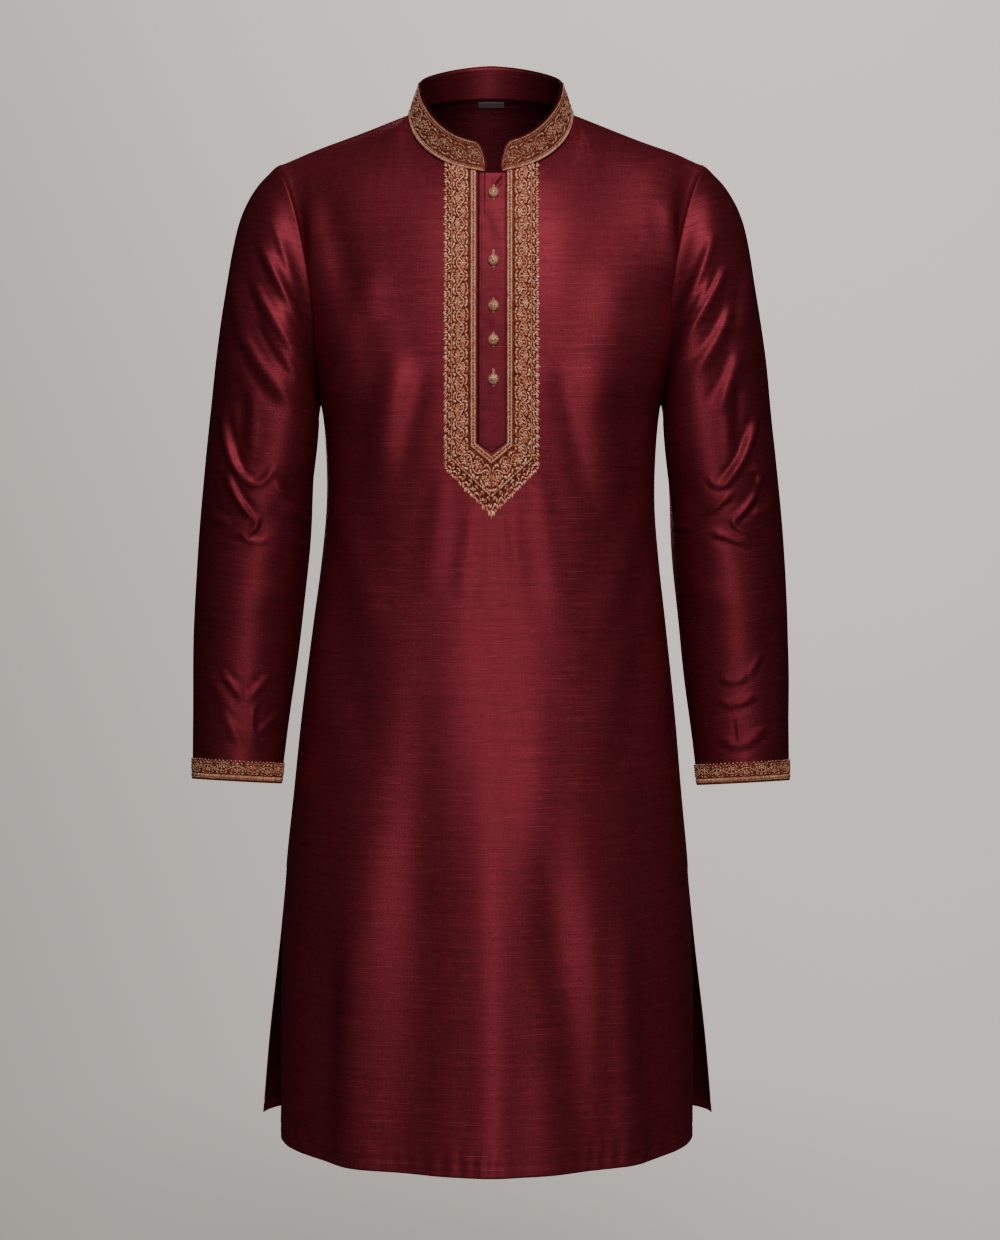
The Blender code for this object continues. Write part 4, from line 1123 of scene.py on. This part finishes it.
patch = makePatch()


def onPatch(x, z):
    return onFace(patch, numbered(-z, -patch["zs"]), numbered(x, patch["xs"]))


def layOnFront(x, z, lift):
    points, normals = onPatch(x, z)
    extra = bandForm["neckLay"] * ease(-0.12, -0.07, z)
    return points + normals * (lift + extra)[..., None], normals


def bendToBand(middle, lift, squash=1.0):
    def bend(flat):
        x, z = bandPlace(flat[:, 0], flat[:, 1] * squash, middle)
        return layOnFront(x, z, lift + flat[:, 2])[0]
    return bend


def makeFrontTrim():
    low, high = bandForm["vine"][0] - 0.0008, bandForm["braid"][1]
    middle = (low + high) / 2
    long = bandLength(middle)
    s, d = np.meshgrid(np.linspace(-long, long, 361), np.linspace(low, high, 15))
    x, z = bandPlace(s, d, middle)
    points, normals = layOnFront(x, z, np.full(x.shape, bandForm["lay"] + 0.0004))
    mesh = gridMesh("frontTrim", points, normals, np.stack([s, d], -1))
    trim = sheet(mesh, stitchGroundShade, 0.0004, ("front_trim",))
    lift = bandForm["lay"] + 0.00035
    vineMiddle = sum(bandForm["vine"]) / 2
    bunch = newBunch(11)
    long = bandLength(vineMiddle)
    for first, last in ((-long, 0.0), (0.0, long)):
        addVine(bunch, first, last, vineMiddle, 0.0158, 0.0130, leafPad)
    vine = sewn("frontVine", bunch, bendToBand(vineMiddle, lift), copperThread)
    edgeLine, slant, squash = 0.004, bandForm["slant"], bandForm["squash"]
    long = bandLength(edgeLine)
    bunch, shade = newBunch(12), newBunch(15)
    for first, last in ((-long, -slant), (slant, long)):
        addPicots(bunch, first, last, bandForm["picot"], 0.0084)
        addShade(shade, first, last, 0.0034, 0.0094)
    legs = sewn("frontPicots", bunch, bendToBand(edgeLine, 0.0001), copperThread)
    bunch = newBunch(14)
    for first, last in ((-slant, 0.0), (0.0, slant)):
        addPicots(bunch, first, last, 0.0098, 0.0076)
        addBranches(bunch, first, last, 0.0100, 0.0146, 0.0087)
    tip = ((-0.0022, 0.0, 0.0022), (0.0030, 0.0017, 0.0030))
    addPads(bunch, smallPad, *tip, -math.pi / 2, 0.0036, 0.0030, 0.0012)
    bend = bendToBand(edgeLine, 0.0001, squash)
    point = sewn("frontPointPicots", bunch, bend, copperThread)
    under = sewn("frontShadeStitches", shade, bendToBand(edgeLine, 0.0), stitchGroundShade)
    bunch = newBunch(16)
    addShade(bunch, -slant, slant, 0.0050, 0.0160)
    bend = bendToBand(edgeLine, 0.0, squash)
    pointUnder = sewn("pointShadeStitches", bunch, bend, stitchGroundShade)
    bunch = newBunch(13)
    middle = sum(bandForm["braid"]) / 2
    long = bandLength(middle)
    for first, last, hand in ((-long, 0.0, -1.0), (0.0, long, 1.0)):
        for level, pitch, width, lean, high in bandForm["ropes"]:
            addRope(bunch, first, last, level, pitch, width, hand * lean, high)
    braid = sewn("frontBraid", bunch, bendToBand(middle, lift), braidThread)
    return trim, [vine, legs, point, under, pointUnder, braid]


frontTrim, frontThreads = makeFrontTrim()


def cordAlong(name, points, radius, finish, sides=8):  # a piping cord through points in space
    row, turn, faces = cordShape(len(points), sides)
    run = unit(np.gradient(points, axis=0))
    aside = unit(np.cross(run, np.array([0.0, 0.0, 1.0])))
    over = np.cross(aside, run)
    around = aside[row] * np.cos(turn)[:, None] + over[row] * np.sin(turn)[:, None]
    place = points[row] + around * radius
    bunch = newBunch(1)
    length = walked(points)
    local = np.column_stack([length[row], turn * radius])
    addToBunch(bunch, place, faces, local, np.full(len(row), 0.5))
    return sewn(name, bunch, lambda flat: flat, finish)


# The button strip, its buttonholes and buttons

placket = {
    "left": -0.0116, "right": 0.0150, "top": -0.0655, "low": -0.3290,
    "tip": 0.0098, "tipHalf": 0.0134,  # how far the point hangs, and half its width
    "lay": 0.0001, "thick": 0.0007, "groove": -0.0066, "seams": (-0.0094, 0.0132),
    "stitch": 0.0031, "thread": (0.0023, 0.00045, 0.00025),
    "creases": metres(8, (
        (14.5, -69, 9, -76, 3.5, -82, 2.4, -1, 1),
        (-4, -98, 6, -110, 11, -134, 5, 0.3, 1.2),
        (-3, -200, 4, -210, 10, -224, 5, 0.25, 1.2),
        (10, -270, 4, -286, -4, -304, 5, 0.3, 1.2),
    )),
}
buttons = {
    "levels": (-0.0860, -0.1530, -0.1970, -0.2300, -0.2680),
    "x": 0.0030, "petals": 9, "petalFrom": 0.0016, "petalTo": 0.0052, "petalHigh": 0.00042,
    "tails": (0.0015, 0.0050, 0.0015, 0.0015, 0.0046),
    "profile": metres(2, (  # radius and height
        (0, 3.6), (0.9, 3.6), (1.5, 3.1), (2, 2.7), (3.2, 2.7), (4.3, 2.2),
        (5, 1.5), (5.4, 0.8), (5.5, 0.3), (5, 0), (0, 0),
    )),
}


def placketLift(x, z):
    edge = np.minimum(x - placket["left"], placket["right"] - x)
    lift = placket["lay"] + placket["thick"] - 0.0005 * np.exp(-(edge / 0.0006) ** 2)
    for line in placket["seams"]:
        lift = lift - 0.00018 * np.exp(-((x - line) / 0.0005) ** 2)
    wave = np.sin(z * 310.0 + 2.0 * np.sin(z * 57.0))
    lift = lift + 0.00022 * wave * np.exp(-((x - placket["left"]) / 0.006) ** 2)
    lift = lift - 0.0004 * np.exp(-((x - placket["groove"]) / 0.0008) ** 2) * ease(-0.120, -0.090, z)
    lift = lift * (0.35 + 0.65 * ease(placket["low"] - 0.008, placket["low"], z))
    lift = lift + 0.0010 * ease(-0.100, -0.064, z)
    return lift + creaseLift(placket["creases"], x, z)


def makePlacket():
    across = np.linspace(placket["left"], placket["right"], 41)
    x, share = np.meshgrid(across, np.linspace(0.0, 1.0, 170))
    toPoint = np.abs(x - bandForm["middle"]) / placket["tipHalf"]
    low = placket["low"] - placket["tip"] * np.clip(1.0 - toPoint, 0.0, 1.0)
    z = placket["top"] + (low - placket["top"]) * share
    points, normals = layOnFront(x, z, placketLift(x, z))
    mesh = gridMesh("placketStrip", points, normals, np.stack([x, z], -1))
    strip = sheet(mesh, silkStripShade, 0.0005, ("placket_strip",))
    sewing = newBunch(21)
    levels = np.arange(placket["top"] - 0.002, placket["low"] + 0.001, -placket["stitch"])
    for line in placket["seams"]:
        addPads(sewing, beadPad, line, levels, math.pi / 2, *placket["thread"])
    across = np.arange(placket["left"] + 0.002, placket["right"] - 0.001, placket["stitch"])
    addPads(sewing, beadPad, across, placket["low"] + 0.0020, 0.0, *placket["thread"])

    def bend(flat):
        lift = placketLift(flat[:, 0], flat[:, 1])
        return layOnFront(flat[:, 0], flat[:, 1], lift + flat[:, 2])[0]
    seams = sewn("placketSewing", sewing, bend, maroonThread)
    holes = newBunch(22)
    for level, tail in zip(buttons["levels"], buttons["tails"]):
        rows = np.arange(level - 0.0066, level + 0.0058 + tail, 0.0006)
        for hand in (-1.0, 1.0):
            x = buttons["x"] + hand * 0.0006
            addPads(holes, beadPad, x, rows, hand * 0.2, 0.0012, 0.0007, 0.0004)
    worked = sewn("buttonholes", holes, bend, copperThread)
    # a dark cord along the strip's left edge, painted shadow beside the braid
    z = np.linspace(placket["top"] - 0.001, placket["low"] - 0.001, 150)
    points, _ = layOnFront(np.full(150, placket["left"] - 0.0006), z, np.full(150, 0.0002))
    shadowCord = cordAlong("placketShadowCord", points, 0.0007, silkPipeShade, 6)
    return strip, [seams, worked, shadowCord]


def makeButton(number, level):
    shape = bmesh.new()
    rim = [shape.verts.new((radius, 0.0, height)) for radius, height in buttons["profile"]]
    edges = [shape.edges.new(pair) for pair in zip(rim, rim[1:])]
    bmesh.ops.spin(shape, geom=rim + edges, cent=(0, 0, 0), axis=(0, 0, 1),
                   angle=2 * math.pi, steps=54, use_merge=True)
    bmesh.ops.remove_doubles(shape, verts=shape.verts[:], dist=0.00001)
    first, last = buttons["petalFrom"], buttons["petalTo"]
    for vert in shape.verts:
        reach = math.hypot(vert.co.x, vert.co.y)
        if first < reach < last and vert.co.z > 0.0004:
            wave = math.cos(buttons["petals"] * math.atan2(vert.co.y, vert.co.x))
            swell = math.sin(math.pi * (reach - first) / (last - first))
            vert.co.z += buttons["petalHigh"] * wave * swell
    surface, normal = onPatch(np.array([buttons["x"]]), np.array([level]))
    lift = placket["lay"] + placket["thick"] + 0.0006
    lift = lift + bandForm["neckLay"] * float(ease(-0.12, -0.07, level))
    turn = Vector(normal[0]).to_track_quat("Z", "Y").to_matrix()
    bmesh.ops.rotate(shape, verts=shape.verts[:], cent=(0, 0, 0), matrix=turn)
    bmesh.ops.translate(shape, verts=shape.verts[:], vec=Vector(surface[0] + normal[0] * lift))
    bmesh.ops.recalc_face_normals(shape, faces=shape.faces[:])
    if shape.calc_volume(signed=True) < 0:
        bmesh.ops.reverse_faces(shape, faces=shape.faces[:])
    mesh = toMesh(shape, bpy.data.meshes.new(f"button{number}"))
    return placed(mesh, copperButton, (f"button_{number}",))


placketStrip, placketSewing = makePlacket()
for number, level in enumerate(buttons["levels"], 1):
    makeButton(number, level)
print("placket and buttons")


# The stand collar

collar = {
    "wall": 0.0022, "lean": 0.012, "leanOver": 0.035, "nominal": 0.0305,
    "ends": (7.6, 3.6),  # the right and the left end, in degrees from the middle
    "rounded": 9.4,  # and over how many degrees each is rounded
    "angle": (0, 25, 60, 90, 120, 180),
    "height": (0.0300, 0.0305, 0.033, 0.0315, 0.0305, 0.033),
    "ropes": {  # level, pitch, width, lean and height
        "collarRope": ((0.0284, 0.0013, 0.0026, -0.62, 0.0011), (0.026, 0.0019, 0.0009, 0.3, 0.0008)),
        "collarBraid": ((0.0022, 0.0013, 0.0036, 0.85, 0.0012), (0.0046, 0.0017, 0.0009, 0.3, 0.0008)),
    },
}


def collarPoint(angle, share):
    size = np.minimum(angle, 360.0 - angle)
    end = np.where(angle > 180.0, collar["ends"][1], collar["ends"][0])
    near = np.clip((size - end) / collar["rounded"], 0.0, 1.0)
    rounded = np.maximum(np.sqrt(1.0 - (1.0 - near) ** 2), 0.05)
    height = through(collar, "angle", "height", size) * rounded
    foot = neckPoint(size)
    foot[..., 0] *= np.where(angle > 180.0, -1.0, 1.0)
    turn = np.radians(angle)
    full = share * height / collar["leanOver"]
    return np.stack([
        foot[..., 0] - np.sin(turn) * collar["lean"] * full,
        foot[..., 1] + np.cos(turn) * collar["lean"] * 0.8 * full,
        foot[..., 2] + 0.0005 + share * height,
    ], -1)


def collarFace(angle, share):
    angle, share = np.broadcast_arrays(angle, share)
    point = collarPoint(angle, share)
    low, high = collar["ends"][0], 360.0 - collar["ends"][1]
    after, before = np.minimum(angle + 1.0, high), np.maximum(angle - 1.0, low)
    along = collarPoint(after, share) - collarPoint(before, share)
    turn, lean = np.radians(angle), collar["lean"] / collar["leanOver"]
    up = np.stack([-np.sin(turn) * lean, np.cos(turn) * lean * 0.8, np.ones_like(angle)], -1)
    along[..., 2] *= 0.3  # the rounded ends stay upright
    normal = unit(np.cross(along, up))
    away = point - np.array([0.0, -0.012, 0.0])
    away[..., 2] = 0.0
    return point, normal * np.sign(np.sum(normal * away, -1))[..., None]


def collarAngles(count):  # closer together where the ends are rounded
    close = collar["rounded"] * (1.0 - np.cos(np.linspace(0, math.pi / 2, 16)))
    first, last = collar["ends"][0] + close, 360.0 - collar["ends"][1] - close[::-1]
    return np.concatenate([first, np.linspace(first[-1], last[0], count)[1:-1], last])


def bendToCollar(lift):
    angles = collarAngles(300)
    middle = collarPoint(angles, np.full(angles.shape, 0.5))
    length = walked(middle[:, :2])

    def bend(flat):
        angle = np.interp(flat[:, 0], length, angles)
        point, normal = collarFace(angle, flat[:, 1] / collar["nominal"])
        return point + normal * (lift + flat[:, 2])[:, None]
    return bend, length[-1]


def makeCollar():
    angles = collarAngles(220)
    rows = np.concatenate([np.linspace(0.0, 1.0, 13), np.linspace(1.0, 0.0, 13)])
    inner = np.concatenate([np.zeros(13), np.ones(13)])
    angle, share = np.meshgrid(angles, np.concatenate([rows, rows[:1]]), indexing="ij")
    side = np.concatenate([inner, inner[:1]])[None, :]
    point, normal = collarFace(angle, share)
    points = point - normal * (side * collar["wall"])[..., None]
    outward = normal * np.where(side > 0.5, -1.0, 1.0)[..., None]
    length = walked(point[:, 6])
    weave = np.stack([length[:, None] + 0.0 * share, share * 0.032 + side * 0.1], -1)
    mesh = gridMesh("collarBand", points, outward, weave, closed=True, caps=True)
    band = placed(mesh, silkInsideShade, ("collar_band",))
    angle, share = np.meshgrid(collarAngles(260), np.linspace(0.03, 0.97, 13), indexing="ij")
    point, normal = collarFace(angle, share)
    weave = np.stack([angle / 360 * 0.47, share * 0.03], -1)
    mesh = gridMesh("collarTrim", point + normal * 0.0008, normal, weave)
    trim = sheet(mesh, stitchGroundShade, 0.0005, ("collar_trim",))
    bend, long = bendToCollar(0.0007)
    bunch = newBunch(31)
    addVine(bunch, 0.004, long - 0.004, 0.01525, 0.0186, 0.0165, leafPad, 1.15)
    threads = [sewn("collarVine", bunch, bend, collarThread)]
    for name, seed, finish in (("collarRope", 32, collarThread), ("collarBraid", 33, cuffThread)):
        bunch = newBunch(seed)
        for rope in collar["ropes"][name]:
            addRope(bunch, 0.0, long, *rope)
        threads.append(sewn(name, bunch, bend, finish))
    angles = collarAngles(240)
    top, normal = collarFace(angles, np.ones_like(angles))
    top = top - normal * collar["wall"] * 0.45 + np.array([0, 0, 0.0003])
    topPipe = cordAlong("collarPiping", top, 0.00115, silkPipeShade)
    # a dark cord along the neck seam, painted shade under the collar
    low, normal = collarFace(angles, np.zeros_like(angles))
    low = low + normal * 0.0006 + np.array([0, 0, 0.0002])
    lowPipe = cordAlong("neckShadePiping", low, 0.0009, silkPipeShade)
    return band, trim, threads, [topPipe, lowPipe]


collarBand, collarTrim, collarThreads, collarPipes = makeCollar()


# Cuffs

cuff = {
    "vine": (0.0068, 0.0186), "start": 0.0004, "beads": 0.0202, "beadStep": 0.0040,
    # the satin border with its line below, and the dark edge: level, pitch, width, lean and height
    "ropes": ((0.0046, 0.00075, 0.0034, 1.35, 0.0010), (0.0026, 0.0012, 0.0009, 0.5, 0.0009)),
    "edge": (0.0013, 0.0009, 0.0024, 1.35, 0.0004),
}


def onCuff(grid, long, s, d):  # s round the cuff, d up from its edge
    turn = np.interp(np.mod(s, long["round"]), long["lengths"], grid["turns"])
    tall = np.interp(turn, grid["turns"], long["tall"])
    share = np.clip(1.0 - d / tall, 0.0, 1.0)
    return onFace(grid, numbered(share, grid["shares"]), numbered(turn, grid["turns"]))


def makeCuff(hand, grid, node):
    edge = grid["points"][-4]
    lengths = walked(edge)
    drop = np.linalg.norm(grid["points"][-1] - grid["points"][-5], axis=1)
    around = lengths[-1]
    tall = drop / (grid["shares"][-1] - grid["shares"][-5])
    long = {"round": around, "lengths": lengths, "tall": tall}
    levels = np.linspace(cuff["start"], cuff["beads"] - 0.0008, 11)
    s, d = np.meshgrid(np.linspace(0.0, around - 1e-6, 181), levels)
    points, normals = onCuff(grid, long, s, d)
    points[:, -1] = points[:, 0]
    points = points + normals * 0.0007
    mesh = gridMesh("cuffTrim" + hand, points, normals, np.stack([s, d], -1), closed=True)
    trim = sheet(mesh, stitchGroundShade, 0.0004, (node,))

    def bend(flat):
        point, normal = onCuff(grid, long, flat[:, 0], flat[:, 1])
        return point + normal * (0.0006 + flat[:, 2])[:, None]
    bunch = newBunch(41 if hand == "Right" else 42)
    low, high = cuff["vine"]
    addVine(bunch, 0.0, around, (low + high) / 2, high - low, 0.0152, smallPad, 1.0, 0.00048)
    beads = np.arange(0.0, around, cuff["beadStep"])
    levels = cuff["beads"] + bunch["draw"].uniform(-0.0003, 0.0003, len(beads))
    addPads(bunch, beadPad, beads, levels, 0.0, 0.0022, 0.0018, 0.0012)
    between = beads + cuff["beadStep"] / 2
    addPads(bunch, smallPad, between, cuff["beads"] - 0.0017, math.pi / 2, 0.0022, 0.0012, 0.0009)
    for rope in cuff["ropes"]:
        addRope(bunch, 0.0, around, *rope)
    threads = sewn("cuffVine" + hand, bunch, bend, cuffThread)
    edging = newBunch(44)
    addRope(edging, 0.0, around, *cuff["edge"])
    edge = sewn("cuffEdging" + hand, edging, bend, stitchGroundShade)
    return trim, [threads, edge]


cuffRight, cuffThreadsRight = makeCuff("Right", rightGrid, "cuff_trim_right")
cuffLeft, cuffThreadsLeft = makeCuff("Left", leftGrid, "cuff_trim_left")


# Turned edges inside the hem and slits, their stitches, and the label

def makeTurn(name, panel, isBack):  # the allowance turned in along the slits and the hem
    wide, half = hem["turned"], hem["half"]
    slitPlace = placeAt(body["slit"] + 0.012)
    column = np.concatenate([np.full(70, -1.0), np.linspace(-1.0, 1.0, 180)[1:-1], np.full(70, 1.0)])
    down = np.linspace(slitPlace, 2.0, 70)
    place = np.concatenate([down, np.full(178, 2.0), np.linspace(2.0, slitPlace, 70)])
    step = np.where(place < 2.0, wide / half, np.abs(column) * wide / half)
    insideColumn = column - np.sign(column) * step
    insideColumn = np.where(np.abs(column) >= 1.0, column * (1.0 - wide / half), insideColumn)
    insidePlace = np.minimum(place, 2.0 - wide / hem["drop"])
    across = np.linspace(0.0, 1.0, 5)[:, None]
    c = column * (1 - across) + insideColumn * across
    p = place * (1 - across) + insidePlace * across
    points, normals = onPanel(panel, c, p)
    points = points - normals * (body["thick"] + 0.0003)
    mesh = gridMesh(name, points, -normals, np.stack([c * half, -p * hem["drop"]], -1))
    return sheet(mesh, silkInsideShade, 0.0005)


def hemSewing(name, panel):
    bunch = newBunch(51)
    half, drop = 0.28, hem["drop"]
    middle = np.arange(-0.96, 0.961, 0.0115)
    deep = 2.0 - hem["deep"] / drop
    slitPlace = placeAt(body["slit"])
    addPads(bunch, beadPad, middle * half, -(deep - 1) * drop, 0.0, *hem["thread"])
    levels = -np.arange((slitPlace - 1) * drop, (deep - 1) * drop, 0.0034)
    for hand in (-1.0, 1.0):
        addPads(bunch, beadPad, hand * (half - 0.0105), levels, math.pi / 2, *hem["thread"])

    def bend(flat):
        points, normals = onPanel(panel, flat[:, 0] / half, 1.0 - flat[:, 1] / drop)
        return points + normals * flat[:, 2:3]
    return sewn(name, bunch, bend, maroonThread)


frontTurn = makeTurn("frontTurnedEdge", front, False)
backTurn = makeTurn("backTurnedEdge", back, True)
frontHemSewing = hemSewing("frontHemSewing", front)
backHemSewing = hemSewing("backHemSewing", back)

labelForm = {
    "width": 0.027, "drop": 0.0064, "clear": 0.0012, "loop": 0.0006, "caught": 0.0006,
    "across": 0.284, "down": 0.207,  # metres a column and a place take up below the neck
}


def makeLabel():  # a blank tape folded into a loop, both ends in the neck seam
    loop, low, caught = (labelForm[name] for name in ("loop", "drop", "caught"))
    turn = np.linspace(0.0, math.pi, 9)
    reach = np.concatenate([np.full(6, -loop), -loop * np.cos(turn[1:-1]), np.full(6, loop)])
    bottom = low + loop * np.sin(turn[1:-1])
    fall = np.concatenate([np.linspace(caught, low, 6), bottom, np.linspace(low, caught, 6)])
    x, fall = np.meshgrid(np.linspace(-labelForm["width"] / 2, labelForm["width"] / 2, 27), fall)
    reach = np.broadcast_to(reach[:, None], x.shape)
    points, normals = onPanel(back, x / labelForm["across"], fall / labelForm["down"])
    sway = 0.0003 * np.cos(x / labelForm["width"] * math.pi)
    points = points - normals * (body["thick"] + labelForm["clear"] + loop + reach + sway)[..., None]
    along = walked(points[:, 13])
    outward = normals * np.where(reach > 0, -1.0, 1.0)[..., None]
    mesh = gridMesh("neckLabel", points, outward, np.stack([x, along[:, None] + 0 * x], -1))
    return sheet(mesh, greyTape, 0.0004, ("neck_label",))


neckLabel = makeLabel()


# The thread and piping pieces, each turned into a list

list(placketSewing)
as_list(collarPipes)
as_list(collarThreads)
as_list(frontThreads)
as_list(cuffThreadsLeft)
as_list(cuffThreadsRight)


# Floor, light and camera

stage = {
    "floor": -1.32, "floorRadius": 1.5,
    "floorColour": (0.86, 0.82, 0.78, 1.0),
    "key": {"place": (0.28, -2.1, 1.25), "aim": (0.0, -0.1, -0.2),
            "size": (0.8, 0.9), "power": 19.0},
    "top": {"place": (0.25, -1.55, 2.15), "aim": (0.0, -0.05, -0.1),
            "size": (1.3, 0.9), "power": 22.0},
    "strip": {"place": (0.16, -2.5, -0.48), "aim": (0.0, -0.1, -0.62),
              "size": (0.34, 2.2), "power": 13.6},
    "fill": {"place": (-0.9, -2.3, 0.4), "aim": (0.0, 0.0, -0.4),
             "size": (0.5, 1.8), "power": 1.5},
    "behind": {"place": (-0.5, 2.5, 0.5), "aim": (0.0, 0.1, -0.45),
               "size": (0.9, 1.8), "power": 13.0},
    "ambient": 0.028, "wallColour": (1.0, 0.905, 0.83),
    "wall": ((0.0, 0.42), (0.33, 0.56), (0.5, 0.65), (0.67, 0.75), (0.83, 0.87), (1.0, 1.00)),
    "camera": {"place": (0.0092, -2.2728, -0.3593), "pitch": 1.301, "lens": 64.774, "shift": -0.0766},
}


def makeFloor():
    shape = bmesh.new()
    bmesh.ops.create_circle(shape, cap_ends=True, segments=96, radius=stage["floorRadius"])
    bmesh.ops.translate(shape, verts=shape.verts[:], vec=(0, 0.2, stage["floor"]))
    mesh = toMesh(shape, bpy.data.meshes.new("floor"))
    floor = newObject("floor", mesh)
    material, tree, surface = newFinish("paleFloor", Base_Color=stage["floorColour"], Roughness=0.9)
    places = solidPlaces(tree)
    middle = {0: places, 1: (0, 0.2, stage["floor"])}
    away = addNode(tree, "ShaderNodeVectorMath", middle, operation="DISTANCE").outputs["Value"]
    share = maths(tree, "DIVIDE", away, stage["floorRadius"])
    faded = ramp(tree, share, ((0.05, (0.4, 0.4, 0.4)), (0.75, (0, 0, 0))))
    join(tree, faded, surface.inputs["Alpha"])
    mesh.materials.append(material)


def makeLight(name, light):
    data = bpy.data.lights.new(name, "AREA")
    data.shape = "RECTANGLE"
    data.size, data.size_y = light["size"]
    data.energy = light["power"]
    lamp = newObject(name, data)
    lamp.location = light["place"]
    aim = Vector(light["aim"]) - Vector(light["place"])
    lamp.rotation_euler = aim.to_track_quat("-Z", "Y").to_euler()


def makeWorld():  # a pale backdrop that lights the garment less than it shows
    world = bpy.data.worlds.new("studio")
    bpy.context.scene.world = world
    world.use_nodes = True
    tree = world.node_tree
    tree.nodes.clear()
    way = addNode(tree, "ShaderNodeTexCoord").outputs["Generated"]
    parts = addNode(tree, "ShaderNodeSeparateXYZ", {0: way})
    x, z = parts.outputs["X"], parts.outputs["Z"]
    # the backdrop's brightness is painted light and shade: brighter to the right and the top, darker at
    # the sides
    shade = scaled(tree, x, 1.04, maths(tree, "MULTIPLY", z, 0.83))
    aside = maths(tree, "MULTIPLY", x, scaled(tree, x, 3.8, maths(tree, "MULTIPLY", z, 0.9)))
    shade = maths(tree, "ADD", maths(tree, "SUBTRACT", shade, aside), 0.790)
    tints = [(place, tinted(stage["wallColour"], level)) for place, level in stage["wall"]]
    wall = ramp(tree, shade, tints)
    seen = addNode(tree, "ShaderNodeBackground", {"Color": wall, "Strength": 1.0})
    light = addNode(tree, "ShaderNodeBackground", {
        "Color": (0.95, 0.97, 1.0, 1.0), "Strength": stage["ambient"]})
    straight = addNode(tree, "ShaderNodeLightPath").outputs["Is Camera Ray"]
    mix = addNode(tree, "ShaderNodeMixShader", {0: straight, 1: light.outputs[0], 2: seen.outputs[0]})
    addNode(tree, "ShaderNodeOutputWorld", {"Surface": mix.outputs[0]})


def makeCamera():
    form = stage["camera"]
    data = bpy.data.cameras.new("camera")
    data.sensor_fit = "AUTO"
    data.sensor_width = 36.0
    data.lens = form["lens"]
    data.shift_y = form["shift"]
    camera = newObject("camera", data)
    camera.location = form["place"]
    camera.rotation_euler = (math.radians(90.0 - form["pitch"]), 0.0, 0.0)
    bpy.context.scene.camera = camera


makeFloor()
for name in ("key", "top", "strip", "behind", "fill"):
    makeLight(name + "Light", stage[name])
makeWorld()
makeCamera()
print("stage")
